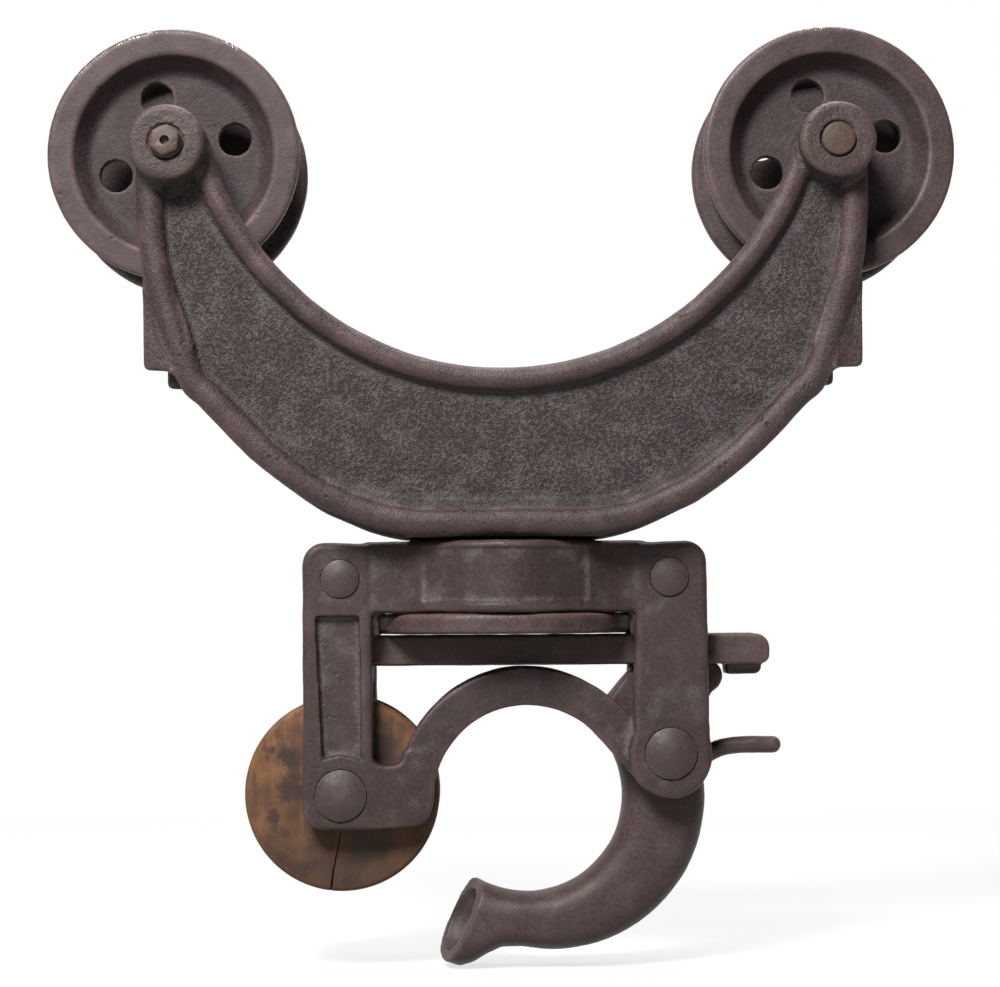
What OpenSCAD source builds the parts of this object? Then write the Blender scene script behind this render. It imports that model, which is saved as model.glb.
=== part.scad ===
// Hay trolley: a crescent yoke on four flanged wheels carries a swivelling rope block with a swinging hook.
// Origin: on the middle plane, half-way between the axles, level with the top of the track.
// +X runs along the track, +Z is up and -Y is the front. Sizes are in millimetres.

/* [Wheels] */
// Distance between the left and right axles
wheel_base = 368; // [330:1:400]
// Radius of the tread that rolls on the track
tread_r = 60; // [54:0.5:66]
// Height of the flange above the tread
flange_h = 11; // [6:0.5:15]
// Width of the tread
tread_w = 21.5; // [19:0.5:30]
// Width of the flange
flange_w = 10; // [7:0.5:14]
// Free space between the front and the rear wheel of a pair
wheel_gap = 24; // [16:1:40]
// Width of the flat ring round the outer face
rim_face_w = 15; // [10:0.5:18]
// Depth of the recess in the outer face
recess_depth = 13.5; // [8:0.5:15]
// Inward lean of the recess wall
recess_draft = 8; // [2:0.5:10]
// Thickness of the web
web_t = 8; // [5:0.5:10]
// Radius of a hole in the web
web_hole_r = 9.2; // [5:0.1:10]
// Distance of the web holes from the axle
web_hole_place = 35; // [33:0.5:37]
// Number of holes in the web
web_holes = 4; // [3:1:5]
// Turn of the rear wheels' holes from the front wheels' holes
rear_turn = 48; // [0:1:90]
// Radius of the wheel's hub
hub_r = 19; // [15:0.5:21]
// Wall of the rim under the tread
rim_wall = 8; // [6:0.5:9]

/* [Axles] */
// Radius of an axle
axle_r = 9.25; // [7:0.25:11]
// Radius of the axle's inner head
axle_head_r = 16; // [13:0.5:18]
// Thickness of the axle's inner head
axle_head_t = 5.5; // [3:0.5:7]
// How far an axle stands out of its boss
axle_proud = 1; // [0.5:0.5:6]

/* [Side frames] */
// Free space between the front and the rear side frame
frame_gap = 115; // [105:1:130]
// Thickness of a side frame
frame_t = 12; // [9:0.5:16]
// Depth of the crescent from the track top to its flat bottom
frame_drop = 156; // [144:1:170]
// Height of the crescent at its middle
crescent_h = 93.2; // [84:0.2:104]
// Width of a horn at the axle
horn_w = 38; // [32:0.5:42]
// How far an axle stands outside the middle of its horn
horn_set = 3; // [0:0.5:5]
// How far the round outer edge passes outside the horns
frame_bulge = 22; // [14:1:28]
// Radius of the inner edge at the middle
inner_r = 156; // [140:1:160]
// Angle from the middle where the inner edge opens out
inner_turn = 38; // [34:1:42]
// Width of the raised rim
rim_w = 12; // [8:0.5:14]
// Depth of the panel inside the rim
panel_depth = 4; // [2:0.5:6]
// Radius of an axle boss
boss_r = 20.8; // [18:0.2:23]
// How far a boss stands out of its frame
boss_proud = 14; // [6:0.5:18]
// Height of the stop fin on a horn's outer edge
fin_h = 45; // [30:1:50]
// Distance from the axle down to the top of the stop fin
fin_drop = 79; // [70:1:86]
// How far the stop fin stands back from the horn's outer edge
fin_back = 1; // [1:0.5:6]
// Thickness of the stop fin
fin_t = 7; // [4:0.5:8]

/* [Swivel] */
// Length of the saddle that joins the side frames
saddle_l = 110; // [90:1:130]
// Thickness of the saddle
saddle_t = 14; // [8:0.5:20]
// Radius of the swivel neck
neck_r = 54.7; // [46:0.1:58]
// Gap between the crescent and the block, where the neck shows
swivel_gap = 2; // [1:0.5:6]
// Radius of the swivel disc
disc_r = 72; // [64:0.5:73]
// Thickness of the swivel disc
disc_t = 11; // [7:0.5:14]
// Height of the collar round the neck
collar_h = 40; // [36:0.5:46]
// Wall of the collar
collar_wall = 20; // [14:0.5:24]

/* [Block] */
// Width of the block over its straps
block_w = 226; // [220:1:244]
// Free space between the front and the rear plate
plate_gap = 54; // [50:1:64]
// Thickness of a plate
plate_t = 13; // [9:0.5:16]
// Width of a strap
strap_w = 39; // [34:0.5:41]
// Radius of the straps' top corners
strap_corner_r = 11; // [5:0.5:14]
// Distance of the rivets and pins from the block's sides
pin_inset = 21; // [19:0.5:24]
// Distance of the upper rivets from the block's top
rivet_drop = 20.5; // [16:0.5:22]
// Radius of an upper rivet
rivet_r = 6.3; // [4:0.1:7.5]
// Wall of the spacing boss round an upper rivet
rivet_boss_wall = 9; // [6:0.5:11]
// Radius of an upper rivet's head
rivet_head_r = 10.5; // [9:0.5:13]
// Distance of the sheave pin from the block's top
sheave_pin_drop = 141; // [136:1:146]
// Distance of the hook pin from the block's top
hook_pin_drop = 119; // [116:1:124]
// Radius of the sheave pin and the hook pin
pin_r = 8.5; // [6:0.25:10]
// Radius of those pins' heads
pin_head_r = 14.2; // [12:0.2:17]
// Radius of the lobe round the hook pin
lobe_r = 23.5; // [20:0.5:26]
// Distance of the foot's bottom from the block's top
foot_drop = 160; // [154:1:170]
// Place of the arch's centre to the right of the middle
arch_x = 12; // [8:1:16]
// Distance of the arch's centre from the block's top
arch_drop = 144; // [141:1:147]
// Inner radius of the arch
arch_r = 52.4; // [48:0.2:55]
// Width of the arch
arch_w = 21; // [16:0.5:23]
// How far the arch's face lies behind the straps' faces
arch_set = 3; // [1:0.5:5]
// Depth of the panel sunk in the left strap
strap_panel_depth = 3; // [1:0.5:5]

/* [Sheave] */
// Radius of the wooden sheave
sheave_r = 55; // [48:0.5:56]
// Width of the sheave
sheave_w = 44; // [36:1:48]
// Radius of the rope groove
groove_r = 12; // [8:0.5:14]
// Wall of the sheave's bush
bush_wall = 4.5; // [3:0.5:8]

/* [Hook] */
// Inner radius of the hook's bowl
bowl_r = 54.6; // [50:0.2:58]
// Width of the hook at the bottom of its bowl
hook_w = 31; // [25:0.5:35]
// Thickness of the hook
hook_t = 40; // [32:1:46]
// How far the bowl's outer edge is set towards the pin
hook_swell = 13.5; // [8:0.5:16]
// Radius of the hub round the hook pin
hook_hub_r = 21; // [16:0.5:23]
// Reach of the tail from the hook pin to the middle of its nose
tail_reach = 48; // [46:0.5:49]
// Lean of the tail from straight up, with the hook shut
tail_lean = 28; // [22:1:30]
// Radius of the tail's nose
nose_r = 10; // [9:0.5:11]
// Width of the tail below its nose
tail_w = 15; // [11:0.5:16]
// Thickness of the tail
tail_t = 18; // [12:1:22]
// Reach of the finger from the hook pin
finger_reach = 66; // [60:1:75]
// Thickness of the finger
finger_t = 8.6; // [6:0.2:11]
// Distance of the tip's lower lip from the middle of the bowl
lip_reach = 104; // [98:0.5:108]
// Radius of the hollow in the tip's end
hollow_r = 14; // [8:0.5:15]
// Depth of the hollow
hollow_l = 20; // [8:1:26]

/* [Lock bar] */
// Height of the lock bar
bar_h = 17; // [16:0.5:18]
// Width of the lock bar from front to rear
bar_w = 40; // [34:1:46]
// Distance from the middle to the bar's right end
bar_right = 150; // [146:0.5:165]
// Distance from the middle to the bar's left end
bar_left = 100; // [90:1:110]
// How far the lugs reach below the bar
lug_h = 6; // [4:0.5:8]
// Width of the lugs from front to rear
lug_w = 22; // [16:1:24]

/* [Clearances] */
// Radial clearance of turning fits
run_clear = 0.05; // [0.02:0.01:0.1]
// Clearance between faces that turn or slide past each other
side_clear = 0.4; // [0.3:0.1:1]
// Free play of the tail's nose in the bar's notch, on each side
nose_play = 0.9; // [0.7:0.1:1.5]

/* [Hidden] */
$fn = 96;

// The sides of the mid-plane and of the middle
FRONT = -1;
REAR = 1;
LEFT = -1;
RIGHT = 1;
sides = [FRONT, REAR];
ends = [LEFT, RIGHT];

iron = [0.25, 0.19, 0.17];
worn_iron = [0.38, 0.34, 0.32];
dark_iron = [0.20, 0.16, 0.15];
wood = [0.47, 0.28, 0.14];

// A length that is past every edge of the part
past = 600;
// Depth by which joined shapes enter each other
bite = 2;
// Width of the small bevels on cast corners
bevel = 1.5;

// Places of the wheels, counted outwards from the mid-plane
axle_x = wheel_base / 2;
axle_z = tread_r;
flange_r = tread_r + flange_h;
wheel_in = wheel_gap / 2;
tread_out = wheel_in + tread_w;
wheel_out = tread_out + flange_w;
web_out = wheel_out - recess_depth;
web_in = web_out - web_t;
recess_r = flange_r - rim_face_w;
rim_in_r = tread_r - rim_wall;
head_in = wheel_in + bevel;
head_out = head_in + axle_head_t;
web_turn = 17;

// Places of the side frames
frame_in = frame_gap / 2;
frame_out = frame_in + frame_t;
boss_in = wheel_out + side_clear;
boss_out = frame_out + boss_proud;
horn_x = axle_x - horn_set;
horn_out = horn_x + horn_w / 2;
horn_in = horn_x - horn_w / 2;
frame_r = horn_out + frame_bulge;
crescent_low = -frame_drop;
inner_low = crescent_low + crescent_h;
inner_z = inner_low + inner_r;

// The inner edge turns from its middle arc to a flatter one that runs to the horn
turn_out = [sin(inner_turn), -cos(inner_turn)];
turn_at = [inner_r * turn_out[0], inner_z + inner_r * turn_out[1]];
to_horn = [horn_in - turn_at[0], axle_z - turn_at[1]];
horn_rise = max(bite, -turn_out * to_horn);
flat_r = (to_horn * to_horn) / (2 * horn_rise);
flat_x = turn_at[0] - flat_r * turn_out[0];
flat_z = turn_at[1] - flat_r * turn_out[1];

// Places of the swivel and the block
block_top = crescent_low - swivel_gap;
collar_low = block_top - collar_h;
disc_top = collar_low - side_clear;
disc_low = disc_top - disc_t;
collar_in_r = neck_r + side_clear;
collar_out_r = collar_in_r + collar_wall;
plate_in = plate_gap / 2;
plate_out = plate_in + plate_t;
strap_out = block_w / 2;
strap_in = strap_out - strap_w;
pin_x = strap_out - pin_inset;
rivet_z = block_top - rivet_drop;
sheave_pin_z = block_top - sheave_pin_drop;
hook_pin_z = block_top - hook_pin_drop;
foot_z = block_top - foot_drop;
arch_z = block_top - arch_drop;
arch_out_r = arch_r + arch_w;
rivet_boss_r = rivet_r + rivet_boss_wall;
rivet_head_h = 4;
pin_head_h = 5.5;
foot_corner_r = 9;
// Height above the arch's centre where the window between the left strap and the arch turns round
window_rise = 30;
// Margin of the sunk strap panel from the strap's sides, and of its lower end from the sheave pin's head
panel_margin = 8;
panel_boss_r = pin_head_r + panel_margin;

// Places of the sheave and the hook
bush_r = pin_r + run_clear + bush_wall;
bush_l = plate_gap - 2 * side_clear;
hook_in = plate_in - side_clear;
// Angles round the bowl, counted from +X towards +Z: the horn, the root and the start of the tip's lip,
// the tip's end, and a place past it
horn_angle = 39;
lip_root = -92;
lip_start = -112;
tip_end = -122;
tip_past = -130;
// Lean of the tip's end from upright, and its turn towards the front
tip_lean = 26;
tip_turn = 9;
nose_dx = tail_reach * sin(tail_lean);
nose_z = hook_pin_z + tail_reach * cos(tail_lean);
nose_peak = hook_pin_z + tail_reach + nose_r;

// Places of the lock bar, which slides just under the swivel disc
bar_top = disc_low - 3 * side_clear;
bar_low = bar_top - bar_h;
notch_w = 2 * (nose_r + nose_play);
notch_left = pin_x + nose_dx - notch_w / 2;
notch_right = notch_left + notch_w;
notch_top = nose_peak + side_clear;
lug_l = 11;
bar_corner_r = 8;
guide_l = 22;
guide_h = 8;

// Helpers

// Draws for the rear side, and mirrors that to the front
module facing(side) {
    if (side == FRONT)
        mirror([0, 1, 0]) children();
    else
        children();
}

// Stands a flat outline of X and Z upright and gives it depth from y0 to y1
module upright(y0, y1) {
    translate([0, y1, 0]) rotate([90, 0, 0]) linear_extrude(y1 - y0) children();
}

// A round bar across the part, at X and Z, from y0 to y1
module cross_bar(x, z, r, y0, y1) {
    translate([x, y1, z]) rotate([90, 0, 0]) cylinder(r = r, h = y1 - y0);
}

// A turned shape about a cross axis at X and Z, its outline given as radius and distance to the rear
module turned(x, z) {
    translate([x, 0, z]) rotate([-90, 0, 0]) rotate_extrude() children();
}

// A rectangle with round corners
module round_rect(x0, z0, x1, z1, r) {
    translate([x0 + r, z0]) square([x1 - x0 - 2 * r, z1 - z0]);
    translate([x0, z0 + r]) square([x1 - x0, z1 - z0 - 2 * r]);
    for (x = [x0 + r, x1 - r], z = [z0 + r, z1 - r])
        translate([x, z]) circle(r);
}

// A low dome of the given radius and height, standing on the XZ plane at y and facing the rear
module dome(x, z, r, h, y) {
    ball_r = (r * r + h * h) / (2 * h);
    intersection() {
        translate([x, y + h - ball_r, z]) sphere(ball_r);
        cross_bar(x, z, r + bite, y, y + h + bite);
    }
}

// A pin through both plates with a domed head on each side
module headed_pin(x, z, r, head_r, head_h) {
    cross_bar(x, z, r, -plate_out - bite, plate_out + bite);
    for (side = sides)
        facing(side) dome(x, z, head_r, head_h, plate_out);
}

// Wheels and axles

module wheel_outline() {
    bore_r = axle_r + run_clear;
    hub_in = head_out + side_clear;
    polygon([
        [bore_r, hub_in], [hub_r, hub_in], [hub_r, web_in], [rim_in_r, web_in],
        [rim_in_r + bevel, wheel_in], [tread_r - bevel, wheel_in], [tread_r, wheel_in + bevel],
        [tread_r, tread_out - bevel], [tread_r + bevel, tread_out],
        [flange_r - bevel, tread_out + bevel], [flange_r, tread_out + 2 * bevel],
        [flange_r, wheel_out - bevel], [flange_r - bevel, wheel_out], [recess_r, wheel_out],
        [recess_r - recess_draft, web_out], [hub_r + bevel, web_out], [hub_r, wheel_out],
        [bore_r, wheel_out]
    ]);
}

module wheel(end, side) {
    turn = web_turn + (side == REAR ? rear_turn : 0);
    color(iron) facing(side) difference() {
        turned(end * axle_x, axle_z) wheel_outline();
        for (i = [0 : web_holes - 1])
            translate([end * axle_x, 0, axle_z])
                rotate([0, -turn - i * 360 / web_holes, 0])
                    cross_bar(web_hole_place, 0, web_hole_r, wheel_in, wheel_out);
    }
}

// The front left axle has a six-sided end with a centre hole, and the others end round
module axle(end, side) {
    hex_end = end == LEFT && side == FRONT;
    hex_l = 4;
    centre_r = 2.6;
    axle_out = boss_out + axle_proud + (hex_end ? hex_l : 0);
    color(worn_iron) facing(side) difference() {
        union() {
            cross_bar(end * axle_x, axle_z, axle_head_r, head_in, head_out);
            cross_bar(end * axle_x, axle_z, axle_r, head_in + bite, axle_out - (hex_end ? bite : 0));
            if (hex_end)
                translate([end * axle_x, axle_out, axle_z])
                    rotate([90, 30, 0])
                        cylinder(r = axle_r + bevel, h = axle_out - boss_out - side_clear, $fn = 6);
        }
        if (hex_end)
            cross_bar(end * axle_x, axle_z, centre_r, boss_out, boss_out + past);
    }
}

// Yoke

// The space inside the crescent's inner edge, grown outwards by a margin
module crescent_opening(grow) {
    turn_z = turn_at[1] + grow * turn_out[1];
    difference() {
        intersection() {
            translate([flat_x, flat_z]) circle(flat_r + grow);
            translate([-flat_x, flat_z]) circle(flat_r + grow);
        }
        difference() {
            translate([-past, turn_z - past]) square([2 * past, past]);
            translate([0, inner_z]) circle(inner_r + grow);
        }
    }
}

// The crescent, drawn in from its edge by a margin
module crescent(inset) {
    difference() {
        intersection() {
            translate([0, axle_z]) circle(frame_r - inset);
            translate([inset - horn_out, crescent_low + inset])
                square([2 * (horn_out - inset), frame_drop + axle_z - inset]);
        }
        crescent_opening(inset);
    }
}

module stop_fin(end) {
    fin_w = 25;
    fin_top = axle_z - fin_drop;
    fin_x = horn_out - fin_back;
    translate([end > 0 ? fin_x - fin_w : -fin_x, fin_top - fin_h]) square([fin_w, fin_h]);
}

module side_frame() {
    difference() {
        upright(frame_in, frame_out) crescent(0);
        upright(frame_out - panel_depth, frame_out + bite) difference() {
            crescent(rim_w);
            for (end = ends)
                translate([end * axle_x, axle_z]) circle(boss_r + bevel);
        }
    }
    upright(frame_in, frame_in + fin_t) for (end = ends) stop_fin(end);
    for (end = ends)
        cross_bar(end * axle_x, axle_z, boss_r, boss_in, boss_out);
}

module yoke() {
    saddle_y = frame_in + frame_t - panel_depth - bite;
    color(iron) difference() {
        union() {
            for (side = sides)
                facing(side) side_frame();
            translate([-saddle_l / 2, -saddle_y, crescent_low]) cube([saddle_l, 2 * saddle_y, saddle_t]);
            translate([0, 0, disc_low + bite]) cylinder(r = neck_r, h = crescent_low + bite - disc_low);
            translate([0, 0, disc_low]) cylinder(r = disc_r, h = disc_t);
        }
        for (end = ends)
            cross_bar(end * axle_x, axle_z, axle_r, -boss_out - bite, boss_out + bite);
    }
}

// Block

module strap(end, low) {
    x0 = end > 0 ? strap_in : -strap_out;
    round_rect(x0, low, x0 + strap_w, block_top, strap_corner_r);
}

// The arch over the hook, with its foot under the sheave pin and a round bottom to the window between them
module arch() {
    arch_end = hook_pin_z - lobe_r + 2 * bite;
    window_z = arch_z + window_rise;
    leg_x = arch_x - sqrt(arch_out_r * arch_out_r - window_rise * window_rise);
    window_r = (strap_in + leg_x) / 2;
    intersection() {
        translate([arch_x, arch_z]) circle(arch_out_r);
        translate([-past, arch_end]) square([2 * past, past]);
    }
    difference() {
        round_rect(-strap_out, foot_z, arch_x - arch_r, window_z, foot_corner_r);
        translate([-strap_in + window_r, window_z]) circle(window_r);
    }
}

// The space under the arch, whose right side runs straight on to the lobe
module arch_opening() {
    leave = 39;
    run = 2 * lobe_r;
    translate([arch_x, arch_z]) {
        circle(arch_r);
        rotate(leave) polygon([[0, 0], [arch_r, 0], [arch_r, -run], [0, -run]]);
    }
}

module straps() {
    strap(LEFT, foot_z);
    strap(RIGHT, hook_pin_z - strap_corner_r);
    translate([pin_x, hook_pin_z]) circle(lobe_r);
    // Roots of the collar
    for (end = ends)
        translate([end > 0 ? collar_in_r : -strap_in - bite, collar_low])
            square([strap_in + bite - collar_in_r, collar_h]);
}

module strap_panel() {
    difference() {
        translate([panel_margin - strap_out, sheave_pin_z])
            square([strap_w - 2 * panel_margin, collar_low - sheave_pin_z]);
        translate([-pin_x, sheave_pin_z]) circle(panel_boss_r);
    }
}

// A shelf and a cheek that carry and guide the lock bar at one strap
module bar_guide(end) {
    shelf_in = lug_w / 2 + bite;
    cheek_in = bar_w / 2 + side_clear;
    guide_top = bar_low - side_clear;
    x0 = end > 0 ? strap_in + bite : -strap_in - bite - guide_l;
    translate([x0, shelf_in, guide_top - guide_h]) cube([guide_l, plate_in + bite - shelf_in, guide_h]);
    translate([x0, cheek_in, guide_top - guide_h])
        cube([guide_l, plate_in + bite - cheek_in, guide_h + bar_h / 2]);
}

module block_plate(side) {
    color(iron) facing(side) difference() {
        union() {
            upright(plate_in, plate_out) straps();
            upright(plate_in, plate_out - arch_set) difference() {
                arch();
                arch_opening();
            }
            rotate_extrude(angle = 180)
                translate([collar_in_r, collar_low]) square([collar_wall, collar_h]);
            for (end = ends) {
                cross_bar(end * pin_x, rivet_z, rivet_boss_r, 0, plate_in + bite);
                bar_guide(end);
            }
        }
        upright(plate_out - strap_panel_depth, plate_out + bite) strap_panel();
        for (end = ends)
            cross_bar(end * pin_x, rivet_z, rivet_r, -bite, plate_out + bite);
        cross_bar(-pin_x, sheave_pin_z, pin_r, plate_in - bite, plate_out + bite);
        cross_bar(pin_x, hook_pin_z, pin_r, plate_in - bite, plate_out + bite);
    }
}

module upper_rivet(end) {
    color(iron) headed_pin(end * pin_x, rivet_z, rivet_r, rivet_head_r, rivet_head_h);
}

module sheave_pin() {
    color(iron) headed_pin(-pin_x, sheave_pin_z, pin_r, pin_head_r, pin_head_h);
}

module hook_pin() {
    color(iron) headed_pin(pin_x, hook_pin_z, pin_r, pin_head_r, pin_head_h);
}

// Sheave

module rope_sheave() {
    color(wood) turned(-pin_x, sheave_pin_z) difference() {
        translate([bush_r, -sheave_w / 2]) square([sheave_r - bush_r, sheave_w]);
        translate([sheave_r + bite, 0]) circle(groove_r);
    }
}

module sheave_bush() {
    color(dark_iron) turned(-pin_x, sheave_pin_z)
        translate([pin_r + run_clear, -bush_l / 2]) square([bush_wall, bush_l]);
}

// Hook

// A point at a radius and an angle from the middle of the bowl
function bowl_point(r, angle) = [arch_x + r * cos(angle), arch_z + r * sin(angle)];

// The bowl, wider towards the pin, with a lip that flares its tip downwards
module bowl_outline() {
    outer_r = norm([bowl_r + hook_w, hook_swell]);
    reach = 2 * outer_r;
    mid_r = bowl_r + hook_w / 2;
    difference() {
        translate([arch_x + hook_swell, arch_z]) circle(outer_r);
        translate([arch_x, arch_z]) circle(bowl_r);
        // Left of the tip and above the horn
        polygon([
            bowl_point(0, 0), bowl_point(reach, tip_past), bowl_point(reach, 180),
            bowl_point(reach, 90), bowl_point(reach, horn_angle)
        ]);
    }
    polygon([
        bowl_point(mid_r, lip_root), bowl_point(mid_r, tip_past + bite),
        bowl_point(lip_reach, tip_past + bite), bowl_point(lip_reach, lip_start),
        bowl_point(bowl_r + hook_w - 2 * bite, lip_root)
    ]);
}

// The hollow in the tip's end, and the slanting cut that lets it show
module tip_hollow() {
    end_mid = bowl_point((bowl_r + lip_reach) / 2, tip_end);
    translate([end_mid[0], 0, end_mid[1]]) rotate([0, 90 + tip_lean, 0]) {
        translate([0, 0, -bite]) cylinder(r = hollow_r, h = hollow_l + bite);
        rotate([-tip_turn, 0, 0]) translate([-past / 2, -past / 2, -past]) cube(past);
    }
}

// The tail leans right of the pin and ends in a round nose
module hook_tail_outline() {
    translate([pin_x, hook_pin_z]) rotate(-tail_lean) {
        translate([-tail_w / 2, 0]) square([tail_w, tail_reach]);
        translate([0, tail_reach]) circle(nose_r);
    }
}

module hook_finger_outline() {
    finger_rise = 4;
    translate([pin_x, hook_pin_z]) {
        translate([0, finger_rise - finger_t / 2]) square([finger_reach - finger_t / 2, finger_t]);
        translate([finger_reach - finger_t / 2, finger_rise]) circle(finger_t / 2);
    }
}

module hook() {
    color(iron) difference() {
        union() {
            upright(-hook_t / 2, hook_t / 2) bowl_outline();
            cross_bar(pin_x, hook_pin_z, hook_hub_r, -hook_in, hook_in);
            upright(-tail_t / 2, tail_t / 2) hook_tail_outline();
            upright(-finger_t / 2, finger_t / 2) hook_finger_outline();
        }
        tip_hollow();
        cross_bar(pin_x, hook_pin_z, pin_r + run_clear, -hook_in - bite, hook_in + bite);
    }
}

// Lock bar

// The notch is a pocket in the bar's underside, with a cheek in front of and behind the tail
module lock_bar() {
    pocket_y = tail_t / 2 + side_clear;
    color(iron) {
        difference() {
            upright(-bar_w / 2, bar_w / 2) {
                translate([-bar_left, bar_low]) square([bar_left + bar_right - bar_corner_r, bar_h]);
                translate([0, bar_low]) square([bar_right, bar_h - bar_corner_r]);
                translate([bar_right - bar_corner_r, bar_top - bar_corner_r]) circle(bar_corner_r);
            }
            upright(-pocket_y, pocket_y)
                translate([notch_left, bar_low - bite]) square([notch_w, notch_top - bar_low + bite]);
        }
        upright(-lug_w / 2, lug_w / 2) {
            translate([notch_left - lug_l, bar_low - lug_h]) square([lug_l, lug_h + bite]);
            translate([notch_right, bar_low - lug_h]) square([bar_right - bite - notch_right, lug_h + bite]);
        }
    }
}

yoke();
axle(LEFT, FRONT);  // axle_front_left
axle(RIGHT, FRONT);  // axle_front_right
axle(LEFT, REAR);  // axle_rear_left
axle(RIGHT, REAR);  // axle_rear_right
wheel(LEFT, FRONT);  // wheel_front_left
wheel(RIGHT, FRONT);  // wheel_front_right
wheel(LEFT, REAR);  // wheel_rear_left
wheel(RIGHT, REAR);  // wheel_rear_right
block_plate(FRONT);  // block_plate_front
block_plate(REAR);  // block_plate_rear
upper_rivet(LEFT);  // upper_rivet_left
upper_rivet(RIGHT);  // upper_rivet_right
sheave_pin();
hook_pin();
rope_sheave();
sheave_bush();
hook();
lock_bar();
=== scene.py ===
"""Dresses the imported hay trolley: round-edged castings, worn iron finishes and an old wooden sheave."""

import logging
import math
from dataclasses import dataclass
from enum import Enum
from typing import Sequence

import bpy
import numpy as np
from mathutils import Matrix, Vector


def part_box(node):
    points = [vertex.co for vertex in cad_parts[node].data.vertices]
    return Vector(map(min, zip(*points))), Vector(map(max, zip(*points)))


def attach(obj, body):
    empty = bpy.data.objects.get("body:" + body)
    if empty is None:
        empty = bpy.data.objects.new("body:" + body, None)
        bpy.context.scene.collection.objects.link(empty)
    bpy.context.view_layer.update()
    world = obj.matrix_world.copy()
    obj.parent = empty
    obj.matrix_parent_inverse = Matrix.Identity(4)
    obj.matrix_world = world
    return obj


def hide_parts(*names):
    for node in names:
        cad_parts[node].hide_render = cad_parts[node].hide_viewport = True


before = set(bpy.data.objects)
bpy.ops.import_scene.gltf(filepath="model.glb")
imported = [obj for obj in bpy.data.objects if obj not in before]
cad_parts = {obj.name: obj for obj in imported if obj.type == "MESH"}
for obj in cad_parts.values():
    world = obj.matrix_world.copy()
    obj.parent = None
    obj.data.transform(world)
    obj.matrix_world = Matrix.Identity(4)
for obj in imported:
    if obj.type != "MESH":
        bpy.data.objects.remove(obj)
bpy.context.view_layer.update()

Point = tuple[float, float]
Corner = tuple[float, float, float]
Colour = tuple[float, float, float]
Outline = list[Point]
Piece = bpy.types.Object
Node = bpy.types.Node
Socket = bpy.types.NodeSocket

LOG = logging.getLogger("hay_trolley")
COARSE = 1.0
BITE = 0.002
SANDY_BELOW = 0.25


class Side(Enum):
    """The side of the middle plane that a piece is on."""

    FRONT = -1
    REAR = 1


class End(Enum):
    """The end of the trolley that a piece is on."""

    LEFT = -1
    RIGHT = 1


# Outlines


def arc(x: float, z: float, radius: float, start: float, end: float, count: int = 24) -> Outline:
    """Points on a round stretch.

    Args:
        x: Place of the centre along the track.
        z: Height of the centre.
        radius: Radius of the stretch.
        start: Angle of the first point, in degrees from +X towards +Z.
        end: Angle of the last point, in degrees.
        count: Number of steps.

    Returns:
        The points, both ends included.
    """
    angles = [math.radians(start + (end - start) * i / count) for i in range(count + 1)]
    return [(x + radius * math.cos(a), z + radius * math.sin(a)) for a in angles]


def round_corners(corners: Sequence[Corner], steps: int = 8) -> Outline:
    """Replaces each corner of a closed outline by a round one.

    Args:
        corners: The corners, each with its own radius.
        steps: Number of steps in a round corner.

    Returns:
        The closed outline.
    """
    outline: Outline = []
    for i, (x, z, radius) in enumerate(corners):
        here = Vector((x, z))
        before = Vector(corners[i - 1][:2]) - here
        after = Vector(corners[(i + 1) % len(corners)][:2]) - here
        if radius <= 0:
            outline.append((x, z))
            continue
        half = before.angle(after) / 2
        run = min(radius / math.tan(half), 0.49 * before.length, 0.49 * after.length)
        true_radius = run * math.tan(half)
        before.normalize()
        after.normalize()
        middle = here + (before + after).normalized() * (true_radius / math.sin(half))
        first = here + before * run - middle
        turn_angle = first.angle_signed(here + after * run - middle)
        for step in range(steps + 1):
            spot = middle + Matrix.Rotation(-turn_angle * step / steps, 2) @ first
            outline.append((spot.x, spot.y))
    return outline


def smooth_line(points: Sequence[Point], steps: int = 8) -> Outline:
    """Runs an open curve through a few points.

    Args:
        points: The points that the curve passes.
        steps: Number of steps between two points.

    Returns:
        The points of the curve.
    """
    spots = [Vector(p) for p in points]
    spots = [2 * spots[0] - spots[1], *spots, 2 * spots[-1] - spots[-2]]
    line: Outline = []
    for a, b, c, d in zip(spots, spots[1:], spots[2:], spots[3:]):
        for step in range(steps):
            t = step / steps
            spot = 0.5 * (
                2 * b + (c - a) * t + (2 * a - 5 * b + 4 * c - d) * t**2 + (3 * b - a - 3 * c + d) * t**3
            )
            line.append((spot.x, spot.y))
    line.append(tuple(points[-1]))
    return line


def beside(line: Sequence[Point], distance: float) -> Outline:
    """Draws a line beside another one.

    Args:
        line: The open line to follow.
        distance: How far to the left of its direction the new line runs.

    Returns:
        The new line.
    """
    spots = np.array(line)
    ways = np.gradient(spots, axis=0)
    ways /= np.linalg.norm(ways, axis=1)[:, None]
    spots = spots + distance * np.stack([-ways[:, 1], ways[:, 0]], axis=1)
    return [tuple(spot) for spot in spots]


def other_end(line: Sequence[Point]) -> Outline:
    """Mirrors a line to the other end of the trolley and reverses it."""
    return [(-x, z) for x, z in reversed(line)]


def at_end(line: Sequence[Point], end: End) -> Outline:
    """Places a line that was drawn for the right end at one end."""
    return [(end.value * x, z) for x, z in line]


def circle(radius: float, count: int) -> Outline:
    """Draws a closed circle round the origin."""
    return arc(0, 0, radius, 0, 360, count)[:-1]


def oblong(x0: float, x1: float, z0: float, z1: float) -> Outline:
    """Draws the four corners of an oblong."""
    return [(x0, z0), (x1, z0), (x1, z1), (x0, z1)]


# Work on meshes


def deselect_all() -> None:
    """Leaves edit mode and deselects every object."""
    if bpy.context.object and bpy.context.object.mode != "OBJECT":
        bpy.ops.object.mode_set(mode="OBJECT")
    bpy.ops.object.select_all(action="DESELECT")


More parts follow.
